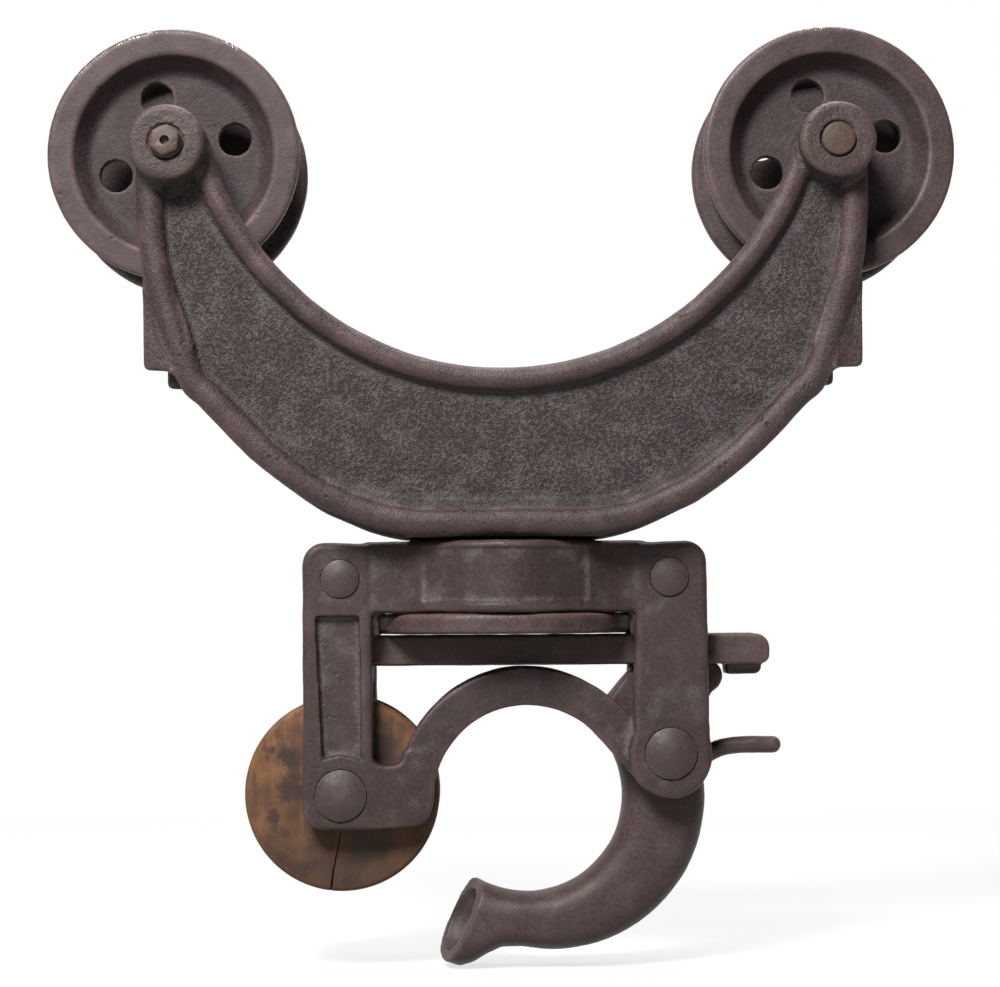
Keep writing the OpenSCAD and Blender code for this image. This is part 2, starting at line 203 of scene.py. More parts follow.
def take(piece: Piece) -> None:
    """Makes a piece the only selected and active one."""
    deselect_all()
    piece.select_set(True)
    bpy.context.view_layer.objects.active = piece


def close_up(piece: Piece) -> Piece:
    """Merges doubles, removes loose bits and turns the faces outwards."""
    take(piece)
    bpy.ops.object.mode_set(mode="EDIT")
    bpy.ops.mesh.select_all(action="SELECT")
    bpy.ops.mesh.remove_doubles(threshold=1e-6)
    bpy.ops.mesh.delete_loose()
    bpy.ops.mesh.select_all(action="SELECT")
    bpy.ops.mesh.normals_make_consistent(inside=False)
    bpy.ops.object.mode_set(mode="OBJECT")
    return piece


def slab(outline: Sequence[Point], near: float, far: float) -> Piece:
    """Stands an outline of X and Z upright and gives it depth.

    Args:
        outline: The closed outline.
        near: Place of one face along Y.
        far: Place of the other face along Y.

    Returns:
        The closed slab.
    """
    deselect_all()
    bpy.ops.mesh.primitive_circle_add(vertices=len(outline), radius=1.0, fill_type="NGON")
    piece = bpy.context.object
    for vertex, (x, z) in zip(piece.data.vertices, outline):
        vertex.co = (x, near, z)
    bpy.ops.object.mode_set(mode="EDIT")
    bpy.ops.mesh.select_all(action="SELECT")
    bpy.ops.mesh.extrude_region_move(TRANSFORM_OT_translate={"value": (0.0, far - near, 0.0)})
    return close_up(piece)


def plate(outline: Sequence[Point], low: float, high: float) -> Piece:
    """Lays an outline of X and Y flat and gives it height.

    Args:
        outline: The closed outline.
        low: Height of the lower face.
        high: Height of the upper face.

    Returns:
        The closed plate.
    """
    piece = slab(outline, -high, -low)
    piece.data.transform(Matrix(((1, 0, 0, 0), (0, 0, 1, 0), (0, -1, 0, 0), (0, 0, 0, 1))))
    return close_up(piece)


def turn(profile: Sequence[Point], x: float, z: float, steps: int = 120) -> Piece:
    """Turns a closed profile round a cross axis, as on a lathe.

    Args:
        profile: Pairs of radius and place along Y.
        x: Place of the axis along the track.
        z: Height of the axis.
        steps: Number of steps in the full turn.

    Returns:
        The closed turned piece.
    """
    deselect_all()
    bpy.ops.mesh.primitive_circle_add(vertices=len(profile), radius=1.0, fill_type="NOTHING")
    piece = bpy.context.object
    for vertex, (radius, depth) in zip(piece.data.vertices, profile):
        vertex.co = (x + radius, depth, z)
    bpy.ops.object.mode_set(mode="EDIT")
    bpy.ops.mesh.select_all(action="SELECT")
    bpy.ops.mesh.spin(steps=steps, angle=2 * math.pi, center=(x, 0, z), axis=(0, 1, 0))
    return close_up(piece)


def drum(x: float, z: float, radius: float, near: float, far: float, round_edge: float = 0.0) -> Piece:
    """Turns a plain round bar across the trolley.

    Args:
        x: Place of the axis along the track.
        z: Height of the axis.
        radius: Radius of the bar.
        near: Place of one end along Y.
        far: Place of the other end along Y.
        round_edge: Radius of the rounded far edge.

    Returns:
        The closed bar.
    """
    corners = [(0, near, 0), (radius, near, 0), (radius, far, round_edge), (0, far, 0)]
    return turn(round_corners(corners, 6), x, z)


def pipe(line: Sequence[Point], half_width: float, depth: float, half_depth: float) -> Piece:
    """Runs a bead of oval section along a line of X and Z.

    Args:
        line: The open line that the bead follows.
        half_width: Half of the bead's width in its plane.
        depth: Place of the bead's middle along Y.
        half_depth: Half of the bead's depth along Y.

    Returns:
        The closed bead.
    """
    deselect_all()
    curve = bpy.data.curves.new("bead", "CURVE")
    curve.dimensions = "3D"
    curve.bevel_depth = half_width
    curve.bevel_resolution = 6
    curve.use_fill_caps = True
    spline = curve.splines.new("POLY")
    spline.points.add(len(line) - 1)
    for point, (x, z) in zip(spline.points, line):
        point.co = (x, 0.0, z, 1.0)
    piece = bpy.data.objects.new("bead", curve)
    bpy.context.scene.collection.objects.link(piece)
    take(piece)
    bpy.ops.object.convert(target="MESH")
    piece = bpy.context.object
    squeeze = Matrix.Diagonal((1, half_depth / half_width, 1, 1))
    piece.data.transform(Matrix.Translation((0, depth, 0)) @ squeeze)
    return close_up(piece)


def loft(pairs: Sequence[tuple[Point, Point]], half_depths: Sequence[float], fullness: float) -> Piece:
    """Runs a rounded section along pairs of points of X and Z, closed flat at both ends.

    Args:
        pairs: The two edge points of each section.
        half_depths: Half of each section's depth along Y.
        fullness: Power of the section's outline: 2 is an oval and more is boxier.

    Returns:
        The closed piece.
    """
    around = 56
    rows = [0, *range(len(pairs)), len(pairs) - 1]
    deselect_all()
    bpy.ops.mesh.primitive_grid_add(x_subdivisions=around, y_subdivisions=len(rows) - 1, size=2.0)
    piece = bpy.context.object
    for vertex in piece.data.vertices:
        step = round((vertex.co.y + 1) / 2 * (len(rows) - 1))
        first, second = (Vector(spot) for spot in pairs[rows[step]])
        angle = 2 * math.pi * round((vertex.co.x + 1) / 2 * around) / around
        size = 0.0 if step in (0, len(rows) - 1) else 1.0
        ways = (math.cos(angle), math.sin(angle))
        share, depth = (size * math.copysign(abs(way) ** (2 / fullness), way) for way in ways)
        spot = (first + second) / 2 + (second - first) / 2 * share
        vertex.co = (spot.x, depth * half_depths[rows[step]], spot.y)
    return close_up(piece)


def apply_modifier(piece: Piece, kind: str, **settings: object) -> Piece:
    """Adds a modifier, sets it and applies it.

    Args:
        piece: The piece to change.
        kind: The modifier's type.
        settings: Values of the modifier's settings.

    Returns:
        The same piece.
    """
    take(piece)
    modifier = piece.modifiers.new(kind.lower(), kind)
    for name, value in settings.items():
        setattr(modifier, name, value)
    bpy.ops.object.modifier_apply(modifier=modifier.name)
    return piece


def soften(piece: Piece, width: float, segments: int = 4) -> Piece:
    """Rounds the sharp edges of a piece."""
    return apply_modifier(
        piece, "BEVEL", width=width, segments=segments, limit_method="ANGLE", angle_limit=math.radians(38)
    )


def cut(piece: Piece, *tools: Piece) -> Piece:
    """Cuts tools out of a piece and removes the tools."""
    for tool in tools:
        apply_modifier(piece, "BOOLEAN", operation="DIFFERENCE", solver="EXACT", object=tool)
        bpy.data.objects.remove(tool)
    return piece


def join(pieces: Sequence[Piece]) -> Piece:
    """Joins pieces into the first of them."""
    take(pieces[0])
    for piece in pieces:
        piece.select_set(True)
    bpy.ops.object.join()
    return bpy.context.object


def cast(piece: Piece, grain: float, passes: int) -> Piece:
    """Melts joined shapes into one casting with soft edges and inner corners.

    Args:
        piece: The joined closed shapes.
        grain: Size of the mesh's faces.
        passes: Number of smoothing passes.

    Returns:
        The same piece.
    """
    apply_modifier(piece, "REMESH", mode="VOXEL", voxel_size=grain * COARSE, use_smooth_shade=True)
    return apply_modifier(piece, "SMOOTH", factor=0.5, iterations=passes)


def wobble(piece: Piece, spacing: float, depth: float, group: str = "") -> Piece:
    """Gives a surface the slight unevenness of a sand mould.

    Args:
        piece: The piece to change.
        spacing: Distance between the swellings.
        depth: Height of the swellings.
        group: Name of the vertex group to keep to, if any.

    Returns:
        The same piece.
    """
    texture = bpy.data.textures.new("sand_mould", "CLOUDS")
    texture.noise_scale = spacing
    texture.noise_depth = 2
    settings = {"texture_coords": "LOCAL", "strength": depth, "mid_level": 0.5, "vertex_group": group}
    apply_modifier(piece, "DISPLACE", texture=texture, **settings)
    bpy.data.textures.remove(texture)
    return piece


def rough_up(piece: Piece, spacing: float, depth: float) -> Piece:
    """Roughens the surfaces that don't stand proud, as the sand left them.

    Args:
        piece: The piece to change, with its relief marked.
        spacing: Distance between the lumps.
        depth: Height of the lumps.

    Returns:
        The same piece.
    """
    relief = np.empty(len(piece.data.vertices), np.float32)
    piece.data.attributes["relief"].data.foreach_get("value", relief)
    sandy = np.flatnonzero(relief < SANDY_BELOW).tolist()
    piece.vertex_groups.new(name="sandy").add(sandy, 1.0, "REPLACE")
    wobble(piece, spacing, depth, "sandy")
    piece.vertex_groups.clear()
    return piece


def mark_relief(piece: Piece, passes: int = 40) -> Piece:
    """Stores how far each point stands proud of its surroundings, in millimetres, for the finishes.

    Args:
        piece: The finished mesh.
        passes: Number of averaging passes, which sets the width of the surroundings.

    Returns:
        The same piece.
    """
    mesh = piece.data
    count = len(mesh.vertices)
    spots = np.empty(count * 3)
    mesh.vertices.foreach_get("co", spots)
    spots = spots.reshape(-1, 3)
    normals = np.empty(count * 3)
    mesh.vertices.foreach_get("normal", normals)
    pairs = np.empty(len(mesh.edges) * 2, int)
    mesh.edges.foreach_get("vertices", pairs)
    first, second = pairs[0::2], pairs[1::2]
    degree = np.maximum(np.bincount(pairs, minlength=count), 1)
    level = spots.copy()
    for _ in range(passes):
        for axis in range(3):
            column = level[:, axis]
            total = np.bincount(first, column[second], count) + np.bincount(second, column[first], count)
            level[:, axis] = (column + total / degree) / 2
    relief = ((spots - level) * normals.reshape(-1, 3)).sum(axis=1) * 1000
    attribute = mesh.attributes.new("relief", "FLOAT", "POINT")
    attribute.data.foreach_set("value", relief.astype(np.float32))
    return piece


def mark_sunk(piece: Piece, level: float, run: float) -> Piece:
    """Stores how far each point lies behind a level, from 0 at the level to 1 at the full run.

    Args:
        piece: The finished mesh.
        level: Distance of the level from the middle plane.
        run: Depth behind the level where the mark is full.

    Returns:
        The same piece.
    """
    spots = np.empty(len(piece.data.vertices) * 3)
    piece.data.vertices.foreach_get("co", spots)
    sunk = np.clip((level - np.abs(spots[1::3])) / run, 0.0, 1.0)
    attribute = piece.data.attributes.new("sunk", "FLOAT", "POINT")
    attribute.data.foreach_set("value", sunk.astype(np.float32))
    return piece


def copy_of(piece: Piece, change: Matrix) -> Piece:
    """Copies a piece with its own mesh, placed by a matrix.

    Args:
        piece: The piece to copy.
        change: Where the copy goes.

    Returns:
        The copy, with its faces outwards.
    """
    take(piece)
    bpy.ops.object.duplicate()
    copy = bpy.context.object
    copy.data.transform(change)
    if change.determinant() < 0:
        copy.data.flip_normals()
    return copy


def to_side(piece: Piece, side: Side) -> Piece:
    """Copies a piece that was made for the rear to one side."""
    return copy_of(piece, Matrix.Diagonal((1, side.value, 1, 1)))


def settle(
    piece: Piece, name: str, body: str, finish: "Finish", nodes: Sequence[str], crease: float = 180.0
) -> Piece:
    """Names a finished piece, gives it its finish and hands it to its body.

    Args:
        piece: The finished mesh.
        name: Name of the piece.
        body: The body that it moves with.
        finish: Its finish.
        nodes: The nodes that it stands for.
        crease: Angle in degrees above which an edge stays sharp.

    Returns:
        The same piece.
    """
    piece.name = name
    piece.data.name = name
    piece.data.materials.clear()
    piece.data.materials.append(finish.material())
    take(piece)
    bpy.ops.object.shade_smooth_by_angle(angle=math.radians(crease))
    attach(piece, body)
    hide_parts(*nodes)
    LOG.info("%s rides on %s with %d faces", name, body, len(piece.data.polygons))
    return piece


# Finishes


class Graph:
    """A small helper that places nodes in a tree and links them."""

    def __init__(self, tree: bpy.types.NodeTree) -> None:
        """Keeps the tree."""
        self.tree = tree

    def add(self, kind: str, inputs: dict[str | int, object] | None = None, **settings: object) -> Node:
        """Places a node.

        Args:
            kind: The node's type.
            inputs: Values or sockets for its inputs.
            settings: Values of its settings.

        Returns:
            The node.
        """
        node = self.tree.nodes.new(kind)
        for name, value in settings.items():
            setattr(node, name, value)
        for name, value in (inputs or {}).items():
            if isinstance(value, Socket):
                self.tree.links.new(value, node.inputs[name])
            else:
                node.inputs[name].default_value = value
        return node

    def noise(self, spot: Socket, scale: float, detail: float = 3.0) -> Socket:
        """Places a noise and gives its value."""
        inputs = {"Vector": spot, "Scale": scale, "Detail": detail}
        return self.add("ShaderNodeTexNoise", inputs).outputs["Fac"]

    def ramp(self, value: Socket, low: float, high: float) -> Socket:
        """Maps a range of a value smoothly to 0 and 1."""
        inputs = {"Value": value, "From Min": low, "From Max": high}
        return self.add("ShaderNodeMapRange", inputs, interpolation_type="SMOOTHSTEP").outputs[0]

    def send(self, value: Socket, node: Node, name: str) -> None:
        """Links a value to a node's input."""
        self.tree.links.new(value, node.inputs[name])

    def height(self, place: Socket) -> Socket:
        """Gives the height of a place."""
        return self.add("ShaderNodeSeparateXYZ", {0: place}).outputs["Z"]

    def away_from(self, place: Socket, axis: object) -> Socket:
        """Measures the distance of a place from a cross axis.

        Args:
            place: The place to measure from.
            axis: A point of the axis on the middle plane.

        Returns:
            The distance.
        """
        inputs = {0: place, 1: (1.0, 0.0, 1.0)}
        flat = self.add("ShaderNodeVectorMath", inputs, operation="MULTIPLY").outputs[0]
        return self.add("ShaderNodeVectorMath", {0: flat, 1: axis}, operation="DISTANCE").outputs["Value"]

    def math(self, operation: str, a: object, b: object = 0.0) -> Socket:
        """Places a sum and gives its value."""
        return self.add("ShaderNodeMath", {0: a, 1: b}, operation=operation, use_clamp=False).outputs[0]

    def mix(self, share: object, a: object, b: object) -> Socket:
        """Mixes two colours by a share and gives the colour."""
        inputs = {"Factor": share, "A": a, "B": b}
        node = self.add("ShaderNodeMix", None, data_type="RGBA")
        for name, value in inputs.items():
            socket = next(s for s in node.inputs if s.name == name and s.enabled)
            if isinstance(value, Socket):
                self.tree.links.new(value, socket)
            else:
                socket.default_value = value if isinstance(value, float) else (*value, 1.0)
        return next(s for s in node.outputs if s.enabled)


def new_group(name: str, inputs: dict[str, str], outputs: dict[str, str]) -> tuple[Graph, Node, Node]:
    """Starts a shader node group.

    Args:
        name: Name of the group.
        inputs: Names and socket types of its inputs.
        outputs: Names and socket types of its outputs.

    Returns:
        Its graph, its input node and its output node.
    """
    tree = bpy.data.node_groups.new(name, "ShaderNodeTree")
    for title, kind in inputs.items():
        tree.interface.new_socket(title, in_out="INPUT", socket_type=kind)
    for title, kind in outputs.items():
        tree.interface.new_socket(title, in_out="OUTPUT", socket_type=kind)
    graph = Graph(tree)
    return graph, graph.add("NodeGroupInput"), graph.add("NodeGroupOutput")


VALUE = "NodeSocketFloat"
COLOUR = "NodeSocketColor"
VECTOR = "NodeSocketVector"


def sand_skin_group() -> bpy.types.NodeTree:
    """Builds a sand-cast skin: fine grain, coarse lumps and small pits.

    Returns:
        The node group.
    """
    graph, given, out = new_group(
        "sand_skin",
        {"Place": VECTOR, "Relief": VALUE, "Sunk": VALUE, "Roughness": VALUE},
        {"Height": VALUE, "Pits": VALUE, "Grain": VALUE},
    )
    place = given.outputs["Place"]
    fine = graph.noise(place, 1100.0, 1.0)
    coarse = graph.noise(place, 480.0, 2.0)
    lumps = graph.noise(place, 80.0, 2.0)
    cells = graph.add("ShaderNodeTexVoronoi", {"Vector": place, "Scale": 200.0, "Randomness": 1.0})
    few = graph.ramp(graph.noise(place, 45.0, 1.0), 0.56, 0.7)
    pits = graph.math("MULTIPLY", graph.ramp(cells.outputs["Distance"], 0.3, 0.1), few)
    pits = graph.math("MULTIPLY", pits, graph.ramp(given.outputs["Roughness"], 0.2, 1.1))
    level = graph.math("MAXIMUM", graph.ramp(given.outputs["Relief"], 0.1, -0.7), given.outputs["Sunk"])
    sand = graph.math("MULTIPLY", graph.math("ADD", fine, coarse), given.outputs["Roughness"])
    sand = graph.math("MULTIPLY", sand, graph.math("ADD", graph.math("MULTIPLY", level, 1.0), 0.3))
    height = graph.math("ADD", sand, graph.math("MULTIPLY", lumps, 0.4))
    height = graph.math("SUBTRACT", height, graph.math("MULTIPLY", pits, 1.2))
    grain = graph.ramp(graph.math("ADD", fine, coarse), 0.84, 1.16)
    graph.send(height, out, "Height")
    graph.send(pits, out, "Pits")
    graph.send(grain, out, "Grain")
    return graph.tree


def patina_group() -> bpy.types.NodeTree:
    """Builds the colour of old iron: mottled brown, lighter where rubbed, grey where it lies deep, and
    darkened in the coves partly by dirt and partly by painted shade.

    Returns:
        The node group.
    """
    graph, given, out = new_group(
        "patina",
        {
            "Place": VECTOR, "Relief": VALUE, "Sunk": VALUE, "Pits": VALUE, "Grain": VALUE, "Brown": COLOUR,
            "Dark": COLOUR, "Rubbed": COLOUR, "Deep": COLOUR, "Rubbing": VALUE, "Bloom": VALUE,
        },
        {"Color": COLOUR, "Roughness": VALUE},
    )
    place = given.outputs["Place"]
    relief = given.outputs["Relief"]
    grain = given.outputs["Grain"]
    broad = graph.ramp(graph.noise(place, 15.0, 3.0), 0.3, 0.7)
    patches = graph.ramp(graph.noise(place, 65.0, 4.0), 0.36, 0.68)
    tone = graph.math("ADD", graph.math("MULTIPLY", broad, 0.25), graph.math("MULTIPLY", patches, 0.25))
    tone = graph.math("ADD", tone, graph.math("MULTIPLY", grain, 0.5))
    colour = graph.mix(tone, given.outputs["Dark"], given.outputs["Brown"])
    deep = graph.ramp(graph.math("SUBTRACT", graph.math("MULTIPLY", patches, 0.6), relief), 0.2, 1.1)
    sunk = given.outputs["Sunk"]
    colour = graph.mix(graph.math("MULTIPLY", sunk, 0.75), colour, given.outputs["Dark"])
    sandy = graph.math("MULTIPLY", graph.ramp(grain, 0.42, 0.78), graph.math("MULTIPLY_ADD", patches, 0.5))
    deep = graph.math("MAXIMUM", deep, graph.math("MULTIPLY", sunk, sandy))
    deep = graph.math("MULTIPLY", deep, given.outputs["Bloom"])
    deep = graph.math("MULTIPLY", deep, graph.math("MULTIPLY_ADD", grain, 0.5))
    colour = graph.mix(deep, colour, given.outputs["Deep"])
    rubbed = graph.ramp(graph.math("ADD", relief, graph.math("MULTIPLY", patches, 0.5)), 0.4, 2.0)
    rubbed = graph.math("MULTIPLY", rubbed, given.outputs["Rubbing"])
    colour = graph.mix(rubbed, colour, given.outputs["Rubbed"])
    # Near-black in the concave coves: partly dirt, partly painted shade standing in for the shadow that falls
    # in the coves; small pits darken the same way.
    dirt_and_cove_shade = graph.math("MULTIPLY", graph.ramp(relief, -0.45, -1.5), 0.75)
    dirt_and_cove_shade = graph.math("MAXIMUM", dirt_and_cove_shade, graph.math("MULTIPLY", given.outputs["Pits"], 0.6))
    colour = graph.mix(dirt_and_cove_shade, colour, (0.011, 0.009, 0.009))
    rough = graph.math("SUBTRACT", 0.54, graph.math("MULTIPLY", rubbed, 0.16))
    rough = graph.math("ADD", rough, graph.math("MULTIPLY", sunk, 0.16))
    rough = graph.math("ADD", rough, graph.math("MULTIPLY", graph.math("SUBTRACT", grain, 0.5), 0.12))
    graph.send(colour, out, "Color")
    graph.send(rough, out, "Roughness")
    return graph.tree


def bare_specks_and_glints_group() -> bpy.types.NodeTree:
    """Builds a mask of small bare scratches along rubbed edges; on the wheels it keeps them to the upper part
    of the ring, where they also serve as painted highlights.

    Returns:
        The node group.
    """
    graph, given, out = new_group(
        "bare_specks_and_glints",
        {"Place": VECTOR, "Relief": VALUE, "Amount": VALUE, "Axle": VECTOR, "Ring": VALUE},
        {"Mask": VALUE},
    )
    place = given.outputs["Place"]
    grain = graph.ramp(graph.noise(place, 900.0, 2.0), 0.55, 0.64)
    areas = graph.ramp(graph.noise(place, 22.0, 2.0), 0.44, 0.58)
    edges = graph.ramp(given.outputs["Relief"], 0.4, 1.1)
    mask = graph.math("MULTIPLY", graph.math("MULTIPLY", grain, areas), edges)
    mask = graph.math("MULTIPLY", mask, given.outputs["Amount"])
    axle, ring = given.outputs["Axle"], given.outputs["Ring"]
    ends = graph.add("ShaderNodeVectorMath", {0: place}, operation="ABSOLUTE").outputs[0]
    mask = graph.math("MULTIPLY", mask, graph.math("GREATER_THAN", graph.away_from(ends, axle), ring))
    # Painted highlight: on the wheels the specks are kept to the upper part of the ring, where the light from
    # above catches the edges.
    above = graph.math("SUBTRACT", graph.height(place), graph.height(axle))
    no_ring = graph.math("LESS_THAN", ring, 0.001)
    above = graph.math("MAXIMUM", graph.ramp(above, -0.01, 0.045), no_ring)
    graph.send(graph.math("MULTIPLY", mask, above), out, "Mask")
    return graph.tree


@dataclass(frozen=True)
class Finish:
    """A finish that pieces of one record slot share.

    Attributes:
        slot: The record's material slot.
    """

    slot: str

    def material(self) -> bpy.types.Material:
        """Gives the finish's material, made once."""
        name = f"{self.slot}_finish"
        made = bpy.data.materials.get(name)
        if made is None:
            made = bpy.data.materials.new(name)
            made.use_nodes = True
            made.node_tree.nodes.clear()
            self.paint(Graph(made.node_tree))
        return made

    def paint(self, graph: Graph) -> None:
        """Builds the material's nodes."""
        raise NotImplementedError


@dataclass(frozen=True)
class IronFinish(Finish):
    """Old cast iron under a brown patina.

    Attributes:
        brown: The patina's lighter tone.
        dark: Its darker tone.
        rubbed: The tone of rubbed edges.
        deep: The grey bloom in recesses.
        bright: The bare metal of the specks, which on the wheels also serves as painted highlight.
        sand: Strength of the sandy skin.
        rubbing: Share of rubbed metal on edges.
        bloom: Share of grey bloom in recesses.
        bare: Share of bright bare specks on edges.
        ring: Distance from the axles where the specks begin.
    """

    brown: Colour = (0.084, 0.050, 0.048)
    dark: Colour = (0.026, 0.016, 0.016)
    rubbed: Colour = (0.130, 0.086, 0.076)
    deep: Colour = (0.138, 0.126, 0.124)
    bright: Colour = (0.55, 0.5, 0.46)
    sand: float = 1.0
    rubbing: float = 0.7
    bloom: float = 0.7
    bare: float = 0.0
    ring: float = 0.0

    def paint(self, graph: Graph) -> None:
        """Builds patina, sandy skin and bare specks, the specks partly painted highlight."""
        place = graph.add("ShaderNodeTexCoord").outputs["Object"]
        relief = graph.add("ShaderNodeAttribute", attribute_name="relief").outputs["Fac"]
        sunk = graph.add("ShaderNodeAttribute", attribute_name="sunk").outputs["Fac"]
        group = bpy.data.node_groups
        skin = graph.add("ShaderNodeGroup", node_tree=group["sand_skin"])
        patina = graph.add("ShaderNodeGroup", node_tree=group["patina"])
        specks = graph.add("ShaderNodeGroup", node_tree=group["bare_specks_and_glints"])
        for node in (skin, patina, specks):
            graph.send(place, node, "Place")
            graph.send(relief, node, "Relief")
        for node in (skin, patina):
            graph.send(sunk, node, "Sunk")
        for name in ("Pits", "Grain"):
            graph.send(skin.outputs[name], patina, name)
        settings = (
            (skin, "Roughness", self.sand), (specks, "Amount", self.bare), (specks, "Ring", self.ring),
            (specks, "Axle", (AXLE.x, 0.0, AXLE.z)), (patina, "Brown", (*self.brown, 1.0)),
            (patina, "Dark", (*self.dark, 1.0)), (patina, "Rubbed", (*self.rubbed, 1.0)),
            (patina, "Deep", (*self.deep, 1.0)), (patina, "Rubbing", self.rubbing),
            (patina, "Bloom", self.bloom),
        )
        for node, name, value in settings:
            node.inputs[name].default_value = value
        # Bare metal specks, which on the wheels' upper edges also serve as painted highlight.
        colour = graph.mix(specks.outputs["Mask"], patina.outputs["Color"], self.bright)
        inputs = {"Strength": 0.7, "Distance": 0.0007, "Height": skin.outputs["Height"]}
        bump = graph.add("ShaderNodeBump", inputs)
        metal = graph.math("MULTIPLY", specks.outputs["Mask"], 0.9)
        shader = graph.add(
            "ShaderNodeBsdfPrincipled",
            {
                "Base Color": colour, "Roughness": patina.outputs["Roughness"], "Metallic": metal,
                "Normal": bump.outputs["Normal"], "Specular IOR Level": 0.36,
            },
        )
        graph.add("ShaderNodeOutputMaterial", {"Surface": shader.outputs["BSDF"]})


@dataclass(frozen=True)
class WoodFinish(Finish):
    """Old dry hardwood, oiled and stained by the rope and the iron.

    Attributes:
        pale: The dry tone.
        warm: The oiled tone.
        stain_and_shade: The tone of the stains, also used for the painted shade on the sheave's lower part.
        stains: Places of the large stains, as X, Z and radius.
        disc: The sheave's axis as X and Z, and its radius.
    """

    pale: Colour = (0.215, 0.100, 0.045)
    warm: Colour = (0.105, 0.050, 0.029)
    stain_and_shade: Colour = (0.030, 0.022, 0.020)
    stains: tuple[Corner, ...] = ()
    disc: Corner = (0.0, 0.0, 0.1)

    def paint(self, graph: Graph) -> None:
        """Builds upright grain, a lighter rim that is partly wear and partly painted highlight, large placed
        stains, small blotches, painted shade on the lower part and fine fibres.
        """
        place = graph.add("ShaderNodeTexCoord").outputs["Object"]
        inputs = {"Vector": place, "Scale": (1.0, 0.6, 0.16)}
        along = graph.add("ShaderNodeMapping", inputs).outputs["Vector"]
        fibres = graph.noise(along, 900.0, 3.0)
        bands = graph.noise(along, 120.0, 4.0)
        blotches = graph.noise(place, 34.0, 4.0)
        small = graph.noise(place, 110.0, 3.0)
        streaks = graph.math("ADD", graph.math("MULTIPLY", bands, 0.5), graph.math("MULTIPLY", small, 0.5))
        colour = graph.mix(graph.ramp(streaks, 0.36, 0.64), self.warm, self.pale)
        stains = graph.math("MULTIPLY", graph.ramp(blotches, 0.5, 0.74), 0.5)
        wander = graph.math("MULTIPLY", graph.math("SUBTRACT", small, 0.5), 0.022)
        for x, z, radius in self.stains:
            away = graph.math("ADD", graph.away_from(place, (x, 0.0, z)), wander)
            spot = graph.ramp(away, radius * 1.5, radius * 0.2)
            stains = graph.math("MAXIMUM", stains, graph.math("MULTIPLY", spot, 0.8))
        x, z, radius = self.disc
        # Painted shade: darker towards the bottom of the sheave, as if that part lay in shadow, in the same
        # tone as the stains.
        shade = graph.math("ADD", graph.math("MULTIPLY", wander, 0.8), graph.height(place))
        shade = graph.math("MULTIPLY", graph.ramp(shade, z - 0.002, z - 0.8 * radius), 0.66)
        colour = graph.mix(graph.math("MAXIMUM", stains, shade), colour, self.stain_and_shade)
        # Lighter band round the rim: partly wear from the rope, partly a painted highlight on the rounded
        # edge.
        rim = graph.ramp(graph.away_from(place, (x, 0.0, z)), radius - 0.0042, radius - 0.0012)
        colour = graph.mix(graph.math("MULTIPLY", rim, 0.4), colour, self.pale)
        thin = graph.math("MULTIPLY", graph.ramp(fibres, 0.54, 0.7), 0.32)
        colour = graph.mix(thin, colour, self.stain_and_shade)
        height = graph.math("ADD", graph.math("MULTIPLY", fibres, 0.7), graph.math("MULTIPLY", bands, 0.6))
        bump = graph.add("ShaderNodeBump", {"Strength": 0.5, "Distance": 0.0006, "Height": height})
        rough = graph.math("ADD", 0.5, graph.math("MULTIPLY", fibres, 0.2))
        shader = graph.add(
            "ShaderNodeBsdfPrincipled",
            {
                "Base Color": colour, "Roughness": rough, "Normal": bump.outputs["Normal"],
                "Specular IOR Level": 0.3,
            },
        )
        graph.add("ShaderNodeOutputMaterial", {"Surface": shader.outputs["BSDF"]})


# Places from the frame


def middle(node: str) -> Vector:
    """Gives the middle of a CAD node's box."""
    low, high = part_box(node)
    return (low + high) / 2


AXLE = middle("wheel_rear_right")
YOKE_LOW, YOKE_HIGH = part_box("yoke")
WHEEL_LOW, WHEEL_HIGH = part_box("wheel_rear_right")
PLATE_LOW, PLATE_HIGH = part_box("block_plate_rear")
BAR_LOW, BAR_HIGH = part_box("lock_bar")
HOOK_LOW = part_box("hook")[0]
RIVET = middle("upper_rivet_right")
SHEAVE_PIN = middle("sheave_pin")
HOOK_PIN = middle("hook_pin")
FLUSH = YOKE_HIGH.y + 0.0003
BOWL = (0.012, PLATE_HIGH.z - 0.144)
BAR_H = 0.017


YOKE_IRON = IronFinish("yoke_iron", sand=2.0)
WHEEL_IRON = IronFinish(
    "wheel_iron", brown=(0.084, 0.052, 0.054), dark=(0.038, 0.024, 0.025), sand=0.7, bloom=0.25, bare=1.0,
    ring=0.0685,
)
BLOCK_IRON = IronFinish(
    "block_iron", brown=(0.068, 0.041, 0.039), dark=(0.031, 0.019, 0.019), sand=0.6, bloom=0.8
)
HOOK_IRON = IronFinish("hook_iron", brown=(0.090, 0.056, 0.051), dark=(0.042, 0.026, 0.025), sand=0.6)
RIVET_IRON = IronFinish(
    "rivet_iron", brown=(0.08, 0.053, 0.049), dark=(0.047, 0.032, 0.03), sand=0.35, bloom=0.3
)
AXLE_IRON = IronFinish(
    "axle_iron", brown=(0.118, 0.072, 0.055), dark=(0.052, 0.033, 0.028), sand=0.5, bare=0.5
)
SHEAVE_WOOD = WoodFinish(
    "sheave_wood",
    disc=(SHEAVE_PIN.x, SHEAVE_PIN.z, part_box("rope_sheave")[1].z - SHEAVE_PIN.z),
    stains=tuple(
        (SHEAVE_PIN.x + dx, SHEAVE_PIN.z + dz, radius)
        for dx, dz, radius in (
            (-0.0295, 0.0200, 0.009), (-0.0270, 0.0030, 0.011), (-0.0257, -0.0380, 0.012),
            (0.0140, -0.0320, 0.019), (0.0060, -0.0500, 0.014), (0.0215, 0.0280, 0.014),
            (-0.0390, -0.0150, 0.005), (-0.0400, 0.0250, 0.004),
        )
    ),
)


# Sub-assemblies


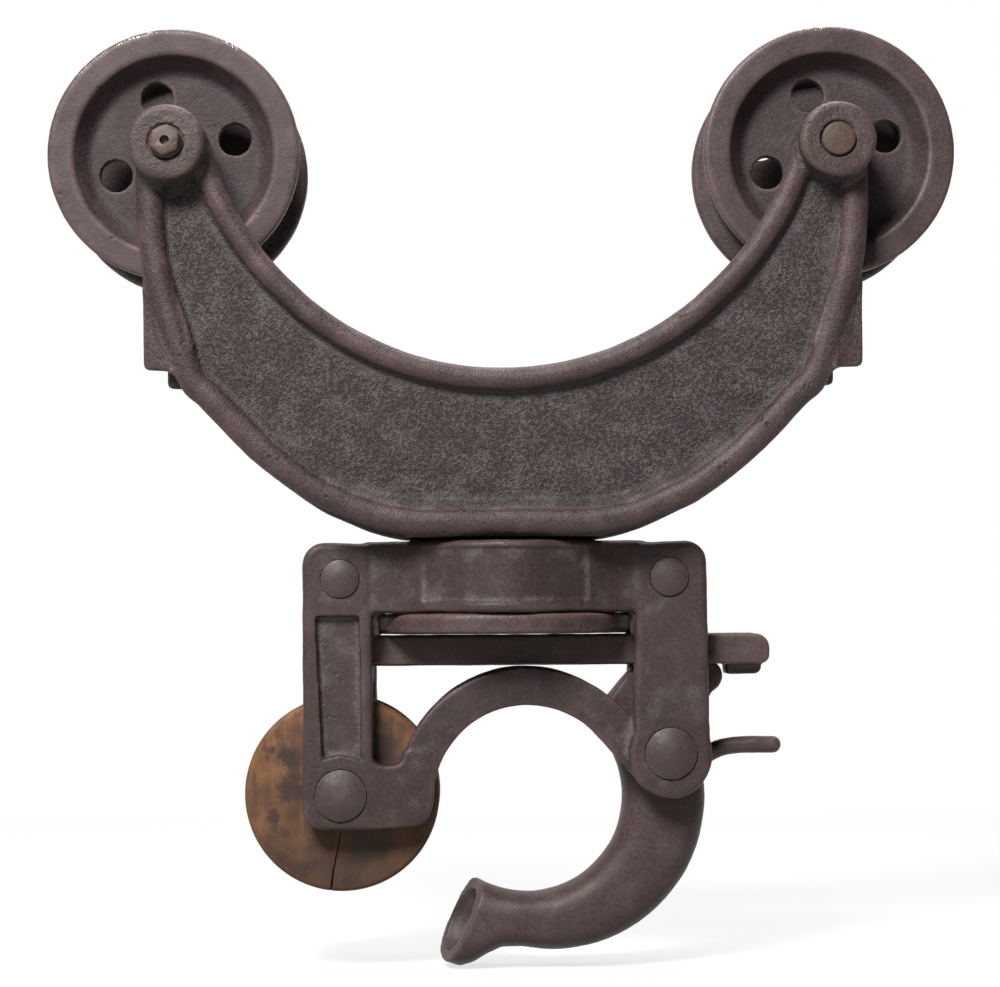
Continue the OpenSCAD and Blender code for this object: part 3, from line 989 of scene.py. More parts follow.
@dataclass
class Yoke:
    """The crescent yoke: two side frames with beads and bosses, a saddle, a neck and a swivel disc."""

    axle_x: float = AXLE.x
    axle_z: float = AXLE.z
    outer: float = YOKE_HIGH.y - 0.0140
    inner: float = YOKE_HIGH.y - 0.0260
    panel: float = YOKE_HIGH.y - 0.0215
    bottom: float = -0.156
    inner_r: float = 0.165
    inner_z: float = 0.1020
    inner_turn: float = 50.0
    outer_bead: float = 0.0078
    inner_bead: float = 0.0068
    boss_r: float = 0.0212
    boss_in: float = 0.0441
    boss_out: float = YOKE_HIGH.y - 0.0003
    groove: Point = (0.0090, 0.0103)
    neck_r: float = 0.0480
    disc_r: float = 0.0718
    disc_low: float = YOKE_LOW.z
    disc_t: float = 0.0110
    saddle: tuple[float, float, float] = (0.055, 0.0640, -0.142)
    outer_points: tuple[Point, ...] = (
        (0.2025, 0.0640), (0.2022, 0.0200), (0.1985, -0.0100), (0.1900, -0.0420), (0.1782, -0.0728),
        (0.1673, -0.0840), (0.1563, -0.0957), (0.1454, -0.1070), (0.1344, -0.1170), (0.1235, -0.1257),
        (0.1125, -0.1335), (0.1016, -0.1398), (0.0797, -0.1492), (0.0640, -0.1536), (0.0480, -0.1558),
        (0.0300, -0.1560),
    )
    inner_edge: tuple[Point, ...] = (
        (0.1240, -0.0068), (0.1395, 0.0130), (0.1520, 0.0350), (0.1605, 0.0600),
    )
    fin: tuple[Corner, ...] = (
        (0.1880, 0.0060, 0), (0.1992, -0.0080, 0.030), (0.1988, -0.0300, 0.030), (0.1984, -0.0632, 0.003),
        (0.1840, -0.0638, 0.006), (0.1740, -0.0740, 0), (0.1700, -0.0500, 0),
    )
    fin_slope: tuple[float, float, float] = (0.0060, 0.0048, 0.016)
    ledge: tuple[float, float, float] = (0.0176, 0.0024, 0.128)
    ledge_depth: Point = (0.0008, 0.0030)
    under_beads: float = 0.004
    boss_round: float = 0.0036
    groove_depth: float = 0.0028
    groove_flare: float = 0.0004
    saddle_round: float = 0.006
    inner_disc_r: float = 0.0670
    disc_lift: float = 0.0003
    disc_round: float = 0.0022
    grain: float = 0.00115
    saddle_grain: float = 0.0014
    swelling: Point = (0.016, 0.0007)
    saddle_swelling: Point = (0.016, 0.0005)
    sand: Point = (0.0024, 0.0008)
    sunk: Point = (0.003, 0.002)

    def outer_edge(self) -> Outline:
        """Draws the outer edge from the right horn round the bottom to the left horn."""
        half = smooth_line(self.outer_points, 6)
        return half + other_end(half)

    def inner_line(self) -> Outline:
        """Draws the inner edge from the right horn round the middle to the left horn."""
        low = arc(0, self.inner_z, self.inner_r, -self.inner_turn, -90, 20)
        half = smooth_line([*reversed(self.inner_edge), low[0]], 6)[:-1] + low
        return half + other_end(half[:-1])

    def stop_fin(self, end: End) -> Piece:
        """Makes a stop fin, whose face slopes back from the bead to its outer edge.

        Args:
            end: The end of the trolley.

        Returns:
            The fin, for the rear.
        """
        edge_t, rise, run = self.fin_slope
        outline = at_end(round_corners(self.fin, 5), end)
        piece = slab(outline, self.inner, self.inner + edge_t)
        for vertex in piece.data.vertices:
            if vertex.co.y > self.inner + edge_t / 2:
                share = min(1.0, (self.fin[1][0] - abs(vertex.co.x)) / run)
                vertex.co.y += rise * share**2
        return soften(piece, 0.0016, 3)

    def side_frame(self) -> Piece:
        """Makes the rear side frame.

        Returns:
            The frame as one casting.
        """
        edge, line = self.outer_edge(), self.inner_line()
        depth = (self.inner + self.outer) / 2
        half_depth = (self.outer - self.inner) / 2
        away, bead, reach = self.ledge
        sink, ledge_half = self.ledge_depth
        ledge = [spot for spot in beside(edge, -away) if abs(spot[0]) < reach]
        panel = beside(edge, -self.under_beads) + beside(line, self.under_beads)[::-1]
        parts = [
            slab(panel, self.inner, self.panel),
            pipe(beside(edge, -self.outer_bead), self.outer_bead, depth, half_depth),
            pipe(beside(line, self.inner_bead), self.inner_bead, depth, half_depth),
            pipe(ledge, bead, self.panel - sink, ledge_half),
        ]
        for end in End:
            x = end.value * self.axle_x
            parts.append(self.stop_fin(end))
            parts.append(drum(x, self.axle_z, self.boss_r, self.boss_in, self.boss_out, self.boss_round))
        return cast(join(parts), self.grain, 4)

    def cut_grooves(self, piece: Piece, side: Side) -> Piece:
        """Cuts the narrow ring between each axle's end and its boss.

        Args:
            piece: The finished side frame.
            side: The side that it is on.

        Returns:
            The same piece.
        """
        inner, outer = self.groove
        floor = -self.groove_depth
        ring = [(inner, floor), (outer, floor), (outer + self.groove_flare, BITE), (inner, BITE)]
        profile = [(radius, side.value * (self.boss_out + depth)) for radius, depth in ring]
        return cut(piece, *(turn(profile, end.value * self.axle_x, self.axle_z, 72) for end in End))

    def saddle_part(self) -> Piece:
        """Makes the saddle, the neck and the swivel disc.

        Returns:
            The saddle as one casting.
        """
        half_x, half_y, top = self.saddle
        corners = [(*spot, self.saddle_round) for spot in oblong(-half_x, half_x, -half_y, half_y)]
        disc_low, disc_top = self.disc_low, self.disc_low + self.disc_t
        parts = [
            plate(round_corners(corners), self.bottom, top),
            plate(circle(self.neck_r, 96), disc_low + BITE, top - BITE),
            plate(circle(self.inner_disc_r, 96), disc_low + BITE, disc_top + self.disc_lift),
            soften(plate(circle(self.disc_r, 128), disc_low - self.disc_lift, disc_top), self.disc_round, 4),
        ]
        return cast(join(parts), self.saddle_grain, 3)

    def build(self) -> None:
        """Makes and dresses the yoke's pieces."""
        made = self.side_frame()
        for side in Side:
            piece = mark_relief(wobble(to_side(made, side), *self.swelling))
            rough_up(piece, *self.sand)
            behind, run = self.sunk
            mark_sunk(piece, self.panel + behind, run)
            self.cut_grooves(piece, side)
            settle(piece, f"yoke_side_{side.name.lower()}", "yoke", YOKE_IRON, ["yoke"])
        bpy.data.objects.remove(made)
        saddle = mark_relief(wobble(self.saddle_part(), *self.saddle_swelling))
        settle(saddle, "yoke_saddle", "yoke", YOKE_IRON, ["yoke"])


@dataclass
class Wheels:
    """Four flanged wheels and the stub axles that they turn on."""

    axle_x: float = AXLE.x
    axle_z: float = AXLE.z
    flange_r: float = WHEEL_HIGH.z - AXLE.z - 0.0004
    tread_r: float = AXLE.z
    near: float = WHEEL_LOW.y
    far: float = WHEEL_HIGH.y
    flange_w: float = 0.010
    web: Point = (0.0220, 0.0300)
    rim_in_r: float = 0.052
    recess_r: float = 0.0563
    web_r: float = 0.0480
    hub_r: float = 0.019
    hub_in: float = 0.0196
    axle_r: float = 0.00925
    holes: int = 4
    hole_r: float = 0.0092
    hole_place: float = 0.035
    hole_turn: float = 17.0
    rear_turn: float = 48.0
    head_r: float = 0.016
    head: Point = (0.0137, 0.019)
    hex_end: float = -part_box("axle_front_left")[0].y - 0.0004
    hex_round: float = 0.0026
    hex_hole_r: float = 0.0026
    hex_turn: float = 22.0
    grain: float = 0.00115
    swelling: Point = (0.014, 0.0004)
    sand: Point = (0.0025, 0.00015)
    sunk: float = 0.006

    def profile(self) -> Outline:
        """Draws half of a wheel's section as pairs of radius and place along Y."""
        web_in, web_out = self.web
        tread_out = self.far - self.flange_w
        corners = [
            (self.axle_r, self.hub_in, 0), (self.hub_r, self.hub_in, 0.001), (self.hub_r, web_in, 0.002),
            (self.rim_in_r, web_in, 0.003), (self.rim_in_r + 0.001, self.near, 0.001),
            (self.tread_r, self.near, 0.0015), (self.tread_r, tread_out, 0.003),
            (self.flange_r, tread_out + 0.001, 0.003), (self.flange_r, self.far, 0.0022),
            (self.recess_r, self.far, 0.0016), (self.web_r, web_out, 0.0040),
            (self.hub_r + 0.001, web_out, 0.0015), (self.hub_r, self.far, 0.0012),
            (self.axle_r, self.far, 0),
        ]
        return round_corners(corners, 5)

    def wheel(self) -> Piece:
        """Makes a wheel at the middle of the track's top, facing the rear.

        Returns:
            The wheel.
        """
        piece = turn(self.profile(), 0, self.axle_z, 144)
        for i in range(self.holes):
            angle = math.radians(self.hole_turn + i * 360 / self.holes)
            place = (self.hole_place * math.cos(angle), self.axle_z + self.hole_place * math.sin(angle))
            cut(piece, drum(*place, self.hole_r, self.near, self.far))
        return cast(piece, self.grain, 2)

    def axle(self, end: End, side: Side) -> Piece:
        """Makes an axle for the rear: a head, a shank and an end that is six-sided at the front left.

        Args:
            end: The end of the trolley.
            side: The side of the middle plane.

        Returns:
            The axle, facing the rear.
        """
        x = end.value * self.axle_x
        head_in, head_out = self.head
        shank = [
            (0, head_in, 0), (self.head_r, head_in, 0.001), (self.head_r, head_out, 0.0015),
            (self.axle_r, head_out, 0), (self.axle_r, FLUSH, 0.0014), (0, FLUSH + 0.0004, 0),
        ]
        piece = turn(round_corners(shank, 4), x, self.axle_z, 64)
        if (end, side) != (End.LEFT, Side.FRONT):
            return piece
        hexagon = arc(x, self.axle_z, self.axle_r - 0.0002, self.hex_turn, self.hex_turn + 300, 5)
        corners = [(*spot, self.hex_round) for spot in hexagon]
        nut = soften(slab(round_corners(corners, 4), FLUSH - BITE, self.hex_end), 0.0016, 4)
        return join([piece, cut(nut, drum(x, self.axle_z, self.hex_hole_r, FLUSH, self.hex_end + BITE))])

    def build(self) -> None:
        """Makes and dresses the wheels and the axles."""
        made = self.wheel()
        for side in Side:
            for end in End:
                name = f"{side.name}_{end.name}".lower()
                spin = math.radians(self.rear_turn) if side is Side.REAR else 0.0
                place = Matrix.Translation((end.value * self.axle_x, 0, self.axle_z))
                place = place @ Matrix.Rotation(-spin, 4, "Y")
                mirror = Matrix.Diagonal((1, side.value, 1, 1)) @ Matrix.Translation((0, 0, -self.axle_z))
                wheel = mark_relief(wobble(copy_of(made, place @ mirror), *self.swelling))
                rough_up(wheel, *self.sand)
                mark_sunk(wheel, self.far - self.sunk, self.sunk)
                settle(wheel, f"wheel_{name}_casting", f"{name}_wheel", WHEEL_IRON, [f"wheel_{name}"])
                axle = self.axle(end, side)
                turned = mark_relief(to_side(axle, side), 4)
                bpy.data.objects.remove(axle)
                settle(turned, f"axle_{name}_pin", "yoke", AXLE_IRON, [f"axle_{name}"], 35.0)
        bpy.data.objects.remove(made)


@dataclass
class Block:
    """The rope block: two plates with straps, half collars and arches, their rivets and pins."""

    near: float = 0.027
    far: float = 0.040
    arch_far: float = 0.0362
    top: float = PLATE_HIGH.z
    strap_in: float = 0.074
    strap_out: float = -PLATE_LOW.x
    pin_x: float = HOOK_PIN.x
    rivet_z: float = RIVET.z
    sheave_z: float = SHEAVE_PIN.z
    hook_z: float = HOOK_PIN.z
    foot: float = PLATE_LOW.z
    lobe_r: float = 0.0235
    lobe_drop: float = 1.08
    arch_x: float = BOWL[0]
    arch_z: float = BOWL[1]
    arch_r: float = 0.0524
    arch_w: float = 0.021
    collar_in: float = 0.0551
    collar_out: float = PLATE_HIGH.y
    collar_low: float = PLATE_HIGH.z - 0.040
    collar_half: float = 0.080
    field: tuple[float, float, float, float] = (0.0466, 0.0041, 0.0344, 0.0020)
    panel: tuple[float, float, float] = (-0.0935, 0.0122, 0.0052)
    rivet_r: float = 0.0063
    pin_r: float = 0.0085
    rivet_head: Point = (0.0105, 0.0036)
    pin_head: Point = (0.0142, 0.0050)
    head_wall: float = 0.0012
    boss_r: float = 0.0153
    round_edge: float = 0.0032
    panel_end_r: float = 0.0222
    panel_drop: float = 0.0011
    collar_step: float = 0.0012
    collar_inset: float = 0.001
    half_gap: float = 0.0002
    guide: tuple[float, float, float] = (0.076, 0.098, 0.0075)
    guide_depths: Point = (0.013, 0.0209)
    gusset: tuple[float, float, float, float] = (0.0702, 0.0760, 0.0125, 0.0075)
    grain: float = 0.001
    swelling: Point = (0.014, 0.0007)
    pin_swelling: Point = (0.008, 0.0005)
    sand: Point = (0.0022, 0.00025)

    def left_strap(self) -> Piece:
        """Makes the left strap with its sunk panel."""
        corners = [
            (-self.strap_out, self.top, 0.012), (-self.strap_in, self.top - 0.001, 0.003),
            (-self.strap_in, self.foot, 0.003), (-self.strap_out, self.foot, 0.010),
        ]
        piece = soften(slab(round_corners(corners), self.near, self.far), self.round_edge)
        x, half, depth = self.panel
        round_end = arc(-self.pin_x, self.sheave_z, self.panel_end_r, 57, 117, 10)
        top = self.collar_low - self.panel_drop
        panel = [(x + half, top), *round_end, (x - half, top)]
        return cut(piece, slab(panel, self.far - depth, self.far + BITE))

    def right_strap(self) -> Piece:
        """Makes the right strap, which ends in a round lobe."""
        lobe = arc(self.pin_x, self.hook_z, self.lobe_r, 380, 152, 30)
        lobe = [(x, min(z, self.hook_z + (z - self.hook_z) * self.lobe_drop)) for x, z in lobe]
        top = round_corners(
            [
                (self.strap_in, self.top - 0.001, 0.003), (self.strap_out, self.top, 0.012),
                (self.strap_out, self.hook_z, 0), (self.strap_in, self.hook_z, 0),
            ]
        )
        outline = [spot for spot in top if spot[1] > self.hook_z + 0.02] + lobe
        return soften(slab(outline, self.near, self.far), self.round_edge)

    def arch(self) -> Piece:
        """Makes the arch over the hook, with the foot under the sheave pin."""
        outer_r = self.arch_r + self.arch_w
        inner = arc(self.arch_x, self.arch_z, self.arch_r, 180, 45, 40)
        outer = arc(self.arch_x, self.arch_z, outer_r, 22, 156, 40)
        to_lobe = [inner[-1], *((x, self.arch_z + rise) for x, rise in (
            (0.0575, 0.0282), (0.0650, 0.0195), (0.0725, 0.0112), (0.0800, 0.0052), (0.0880, 0.0084),
        ))]
        foot = round_corners(
            [
                (-0.0740, self.foot + 0.0464, 0), (-0.0740, self.foot + 0.0354, 0.0075),
                (-0.0590, self.foot + 0.0359, 0.010), (-0.0565, self.foot + 0.0444, 0),
                (-0.0400, self.foot + 0.0444, 0), (-0.0404, self.foot + 0.0154, 0),
                (-0.0440, self.foot + 0.002, 0.011), (-0.0740, self.foot, 0), (-0.0790, self.foot, 0.002),
                (-0.0790, self.foot + 0.0464, 0),
            ]
        )
        ring = slab(inner[:-1] + smooth_line(to_lobe, 5) + outer, self.near, self.arch_far)
        sole = slab(foot, self.near, self.arch_far)
        for vertex in sole.data.vertices:
            if vertex.co.y > self.arch_far - BITE:
                share = min(1.0, max(0.0, (-0.046 - vertex.co.x) / (self.strap_in - 0.046)))
                vertex.co.y += (self.far - self.arch_far - 0.0003) * share
        return join([soften(ring, self.round_edge), soften(sole, self.round_edge)])

    def collar_line(self, half: float, sink: float) -> Outline:
        """Draws the collar's gently swelling face from right to left, as pairs of X and Y.

        Args:
            half: Half of the width to draw.
            sink: How far behind the face the line runs.

        Returns:
            The line.
        """
        xs = [half * (1 - 2 * i / 40) for i in range(41)]
        base = self.far - self.collar_step
        swell = (self.collar_out - base) / 2
        return [(x, base - sink + swell * (1 + math.cos(math.pi * x / self.collar_half))) for x in xs]

    def collar(self) -> Piece:
        """Makes the half collar, whose sides sweep into the straps."""
        inner = arc(0, 0, self.collar_in, 155, 25, 40)
        wide = self.collar_half
        outline = self.collar_line(wide, 0.0) + [(-wide, self.near), *inner, (wide, self.near)]
        bar = soften(plate(outline, self.collar_low, self.top), self.round_edge)
        half, over, under, sink = self.field
        clear = self.collar_out + BITE
        field = self.collar_line(half, sink) + [(-half, clear), (half, clear)]
        cut(bar, plate(field, self.top - under, self.top - over))
        parts = [bar]
        for end in End:
            wing = arc(0, 0, self.collar_out, -1, 28, 12) + arc(0, 0, self.collar_in, 40, -1, 16)
            wing = [(x, max(y, self.half_gap)) for x, y in at_end(wing, end)]
            parts.append(plate(wing, self.collar_low + self.collar_inset, self.top - self.collar_inset))
        return join(parts)

    def plate_half(self) -> Piece:
        """Makes the rear plate.

        Returns:
            The plate as one casting.
        """
        parts = [self.left_strap(), self.right_strap(), self.arch(), self.collar()]
        shelf_top = BAR_HIGH.z - BAR_H - 0.0009
        for end in End:
            x = end.value * self.pin_x
            parts.append(drum(x, self.rivet_z, self.boss_r, self.half_gap, self.near + BITE))
            inner, outer, drop = self.guide
            for depth, height in zip(self.guide_depths, (shelf_top, shelf_top + BAR_H / 2)):
                guide = at_end(oblong(inner, outer, shelf_top - drop, height), end)
                parts.append(slab(guide, depth, self.near + BITE))
            inner, outer, drop, thick = self.gusset
            gusset = at_end(oblong(inner, outer, self.collar_low - drop, self.collar_low + BITE), end)
            parts.append(slab(gusset, self.near, self.near + thick))
        return cast(join(parts), self.grain, 8)

    def headed_pin(self, x: float, z: float, radius: float, head: Point) -> Piece:
        """Makes a pin with a low domed head on each side.

        Args:
            x: Place of the pin along the track.
            z: Height of the pin.
            radius: Radius of its shank.
            head: Radius and height of its heads.

        Returns:
            The pin.
        """
        head_r, height = head
        rise = height - self.head_wall
        ball = (head_r**2 + rise**2) / (2 * rise)
        spread = math.degrees(math.asin(head_r / ball))
        dome = [(r, self.far + height - ball + y) for r, y in arc(0, 0, ball, 90 - spread * 0.96, 90, 14)]
        root, wall_top = self.far - BITE, self.far + self.head_wall
        half = [(radius, root), (head_r, root), (head_r, wall_top), *dome]
        return turn(half + [(r, -y) for r, y in reversed(half)], x, z, 72)

    def cut_rings(self, piece: Piece, side: Side, x: float, z: float, head_r: float) -> Piece:
        """Cuts the narrow ring round a pin's head.

        Args:
            piece: The finished plate.
            side: The side that it is on.
            x: Place of the pin along the track.
            z: Height of the pin.
            head_r: Radius of the pin's head.

        Returns:
            The same piece.
        """
        ring = [(-0.0008, -0.0010), (0.0002, -0.0010), (0.0006, BITE), (-0.0008, BITE)]
        profile = [(head_r + out, side.value * (self.far + depth)) for out, depth in ring]
        return cut(piece, turn(profile, x, z, 64))

    def build(self) -> None:
        """Makes and dresses the plates, the rivets and the pins."""
        made = self.plate_half()
        pins = (
            ("upper_rivet_left", -self.pin_x, self.rivet_z, self.rivet_r, self.rivet_head),
            ("upper_rivet_right", self.pin_x, self.rivet_z, self.rivet_r, self.rivet_head),
            ("sheave_pin", -self.pin_x, self.sheave_z, self.pin_r, self.pin_head),
            ("hook_pin", self.pin_x, self.hook_z, self.pin_r, self.pin_head),
        )
        for side in Side:
            name = f"block_plate_{side.name.lower()}"
            piece = rough_up(mark_relief(wobble(to_side(made, side), *self.swelling)), *self.sand)
            for _, x, z, _, head in pins:
                self.cut_rings(piece, side, x, z, head[0])
            settle(piece, f"{name}_casting", "block", BLOCK_IRON, [name])
        bpy.data.objects.remove(made)
        for node, x, z, radius, head in pins:
            pin = wobble(self.headed_pin(x, z, radius, head), *self.pin_swelling)
            settle(mark_relief(pin, 6), f"{node}_forged", "block", RIVET_IRON, [node], 50.0)


@dataclass
class Sheave:
    """The wooden rope sheave and its iron bush."""

    x: float = SHEAVE_PIN.x
    z: float = SHEAVE_PIN.z
    radius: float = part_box("rope_sheave")[1].z - SHEAVE_PIN.z - 0.0002
    half_w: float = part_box("rope_sheave")[1].y - 0.0002
    groove_r: float = 0.012
    bush_r: float = 0.01305
    crack: tuple[Point, ...] = (
        (-0.0005, -0.0215), (-0.0030, -0.0330), (-0.0052, -0.0440), (-0.0066, -0.0556),
    )
    crack_half: Point = (0.00022, 0.00065)
    crack_depth: float = 0.006

    def build(self) -> None:
        """Makes and dresses the sheave, and dresses the bush."""
        lip = math.sqrt(self.groove_r**2 - BITE**2)
        half = round_corners(
            [(self.bush_r, self.half_w, 0), (self.radius, self.half_w, 0.0034), (self.radius, lip, 0.0012),
             (self.radius - 0.009, 0.005, 0.006), (self.radius - 0.009, 0, 0), (self.bush_r, 0, 0)], 8
        )
        rim = half[:-2]
        piece = turn(rim + [(r, -y) for r, y in reversed(rim)], self.x, self.z, 180)
        line = smooth_line([(self.x + dx, self.z + dz) for dx, dz in self.crack], 6)
        widths = np.linspace(*self.crack_half, len(line))
        left = [(x - w, z) for (x, z), w in zip(line, widths)]
        right = [(x + w, z) for (x, z), w in zip(line, widths)]
        cut(piece, slab(left + right[::-1], -self.half_w - BITE, -self.half_w + self.crack_depth))
        settle(piece, "rope_sheave_wood", "sheave", SHEAVE_WOOD, ["rope_sheave"], 40.0)
        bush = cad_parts["sheave_bush"]
        bush.data.materials.clear()
        bush.data.materials.append(AXLE_IRON.material())


@dataclass
class Hook:
    """The swinging hook: a thick round-edged bowl with a flared hollow tip, a hub, a tail and a finger."""

    x: float = BOWL[0]
    z: float = BOWL[1]
    bowl_r: float = 0.0546
    width: float = 0.031
    swell: float = 0.0147
    half_t: float = 0.0198
    fullness: float = 2.9
    pin_x: float = HOOK_PIN.x
    pin_z: float = HOOK_PIN.z
    hub_r: float = 0.021
    hub_half: float = 0.0262
    pin_hole: float = 0.0086
    tail_reach: float = 0.048
    tail_lean: float = 28.0
    tail_half_w: float = 0.0073
    nose_r: float = 0.0096
    lip: tuple[tuple[float, Point], ...] = (
        (-97.0, (-0.0030, -0.0850)), (-104.0, (-0.0105, -0.0888)), (-110.0, (-0.0190, -0.0938)),
        (-115.0, (-0.0268, -0.0957)), (-121.0, (-0.0355, -0.0930)), (-128.0, (-0.0440, -0.0860)),
        (-136.0, (-0.0520, -0.0780)),
    )
    tip: Point = (-0.0262, -0.0700)
    tip_lean: float = 25.0
    tip_turn: float = 15.0
    hollow: tuple[Point, ...] = ((-0.012, 1.2), (0.004, 0.98), (0.018, 0.72), (0.026, 0.4))
    hollow_half: Point = (0.0150, 0.0185)
    finger: tuple[Point, ...] = (
        (0.0040, -0.0056), (0.0200, -0.0036), (0.0320, 0.0014), (0.0450, 0.0028), (0.0610, 0.0028),
    )
    finger_r: float = 0.0049
    tail_half_t: float = 0.0086
    reach: float = 0.08
    grain: float = 0.00105
    swelling: Point = (0.018, 0.0007)

    def stations(self) -> list[tuple[Point, Point]]:
        """Lists pairs of inner and outer points along the bowl, from the pin to past the tip."""
        outer_r = math.hypot(self.bowl_r + self.width, self.swell)
        pairs = []
        for i in range(37):
            angle = math.radians(50 - 142 * i / 36)
            reach = self.swell * math.cos(angle) + math.sqrt(outer_r**2 - (self.swell * math.sin(angle)) ** 2)
            cos, sin = math.cos(angle), math.sin(angle)
            pairs.append([(self.x + r * cos, self.z + r * sin) for r in (self.bowl_r, reach)])
        for angle, (x, rise) in self.lip:
            here = math.radians(angle)
            inner = (self.x + self.bowl_r * math.cos(here), self.z + self.bowl_r * math.sin(here))
            pairs.append([inner, (x, self.z + rise)])
        return [tuple(pair) for pair in pairs]

    def trim_tools(self) -> list[Piece]:
        """Makes the tools that trim the tip and hollow its end."""
        spot = Vector((self.tip[0], 0.0, self.z + self.tip[1]))
        frame_of_tip = Matrix.Translation(spot) @ Matrix.Rotation(math.radians(self.tip_lean), 4, "Y")
        trim = slab(oblong(-self.reach, 0.0, -self.reach, self.reach), -self.reach, self.reach)
        trim.data.transform(frame_of_tip @ Matrix.Rotation(math.radians(self.tip_turn), 4, "Z"))
        half_y, half_z = self.hollow_half
        pairs = [((depth, -half_z * grow), (depth, half_z * grow)) for depth, grow in self.hollow]
        core = loft(pairs, [half_y * grow for _, grow in self.hollow], 2.0)
        core.data.transform(frame_of_tip)
        return [trim, core]

    def tail(self) -> Piece:
        """Makes the tail that works the lock bar."""
        lean = math.radians(self.tail_lean)
        way = Vector((math.sin(lean), math.cos(lean)))
        across = Vector((math.cos(lean), -math.sin(lean))) * self.tail_half_w
        root = Vector((self.pin_x, self.pin_z))
        nose = root + way * self.tail_reach
        neck = nose - way * 0.0072
        end = arc(nose.x, nose.y, self.nose_r, 180 + 10, -28 - 38, 20)
        left, right = [root - across, neck - across], [neck + across, root + across]
        outline = [*map(tuple, left), *end, *map(tuple, right)]
        return soften(slab(outline, -self.tail_half_t, self.tail_half_t), 0.0012, 3)

    def build(self) -> None:
        """Makes and dresses the hook."""
        stations = self.stations()
        bowl = cut(loft(stations, [self.half_t] * len(stations), self.fullness), *self.trim_tools())
        hub = soften(drum(self.pin_x, self.pin_z, self.hub_r, -self.hub_half, self.hub_half), 0.0015, 3)
        line = smooth_line([(self.pin_x + dx, self.pin_z + dz) for dx, dz in self.finger], 6)
        finger = pipe(line, self.finger_r, 0.0, self.finger_r)
        deselect_all()
        end = (line[-1][0], 0, line[-1][1])
        bpy.ops.mesh.primitive_uv_sphere_add(segments=24, ring_count=16, radius=self.finger_r, location=end)
        ball = bpy.context.object
        bpy.ops.object.transform_apply(location=True, rotation=True, scale=True)
        piece = cast(join([bowl, hub, self.tail(), finger, ball]), self.grain, 4)
        piece = mark_relief(wobble(piece, *self.swelling))
        cut(piece, drum(self.pin_x, self.pin_z, self.pin_hole, -self.hub_half - BITE, self.hub_half + BITE))
        settle(piece, "hook_casting", "hook", HOOK_IRON, ["hook"])


@dataclass
class LockBar:
    """The bar that slides under the swivel disc and is worked by the hook's tail."""

    left: float = BAR_LOW.x
    right: float = BAR_HIGH.x
    top: float = BAR_HIGH.z + 0.0002
    low: float = BAR_HIGH.z - BAR_H
    half_w: float = BAR_HIGH.y
    pocket: Point = (0.0235, 0.0112)
    pocket_top: float = BAR_HIGH.z - 0.0074
    pocket_half: float = 0.0099
    lug_half: float = 0.011
    lug_low: float = BAR_LOW.z
    lug_l: float = 0.011
    lug_inset: float = 0.004
    end_rounds: Point = (0.0085, 0.0050)
    grain: float = 0.0011
    swelling: Point = (0.016, 0.0006)

    def build(self) -> None:
        """Makes and dresses the lock bar."""
        nose, half = self.pocket
        start, stop = HOOK_PIN.x + nose - half - 0.001, HOOK_PIN.x + nose + half - 0.001
        corners = [
            (self.left, self.low, 0.002), (self.left, self.top, 0.002),
            (self.right, self.top, self.end_rounds[0]), (self.right, self.low, self.end_rounds[1]),
        ]
        bar = soften(slab(round_corners(corners, 6), -self.half_w, self.half_w), 0.0018, 3)
        room = oblong(start, stop, self.low - BITE, self.pocket_top)
        parts = [cut(bar, slab(room, -self.pocket_half, self.pocket_half))]
        for x0, x1 in ((start - self.lug_l, start), (stop, self.right - self.lug_inset)):
            spots = oblong(x0, x1, self.low + BITE, self.lug_low)
            lug = [(*spot, radius) for spot, radius in zip(spots, (0, 0, 0.005, 0.0015))]
            parts.append(slab(round_corners(lug, 4), -self.lug_half, self.lug_half))
        piece = cast(join(parts), self.grain, 2)
        piece = mark_relief(wobble(piece, *self.swelling))
        settle(piece, "lock_bar_casting", "lock_bar", HOOK_IRON, ["lock_bar"])


# Studio


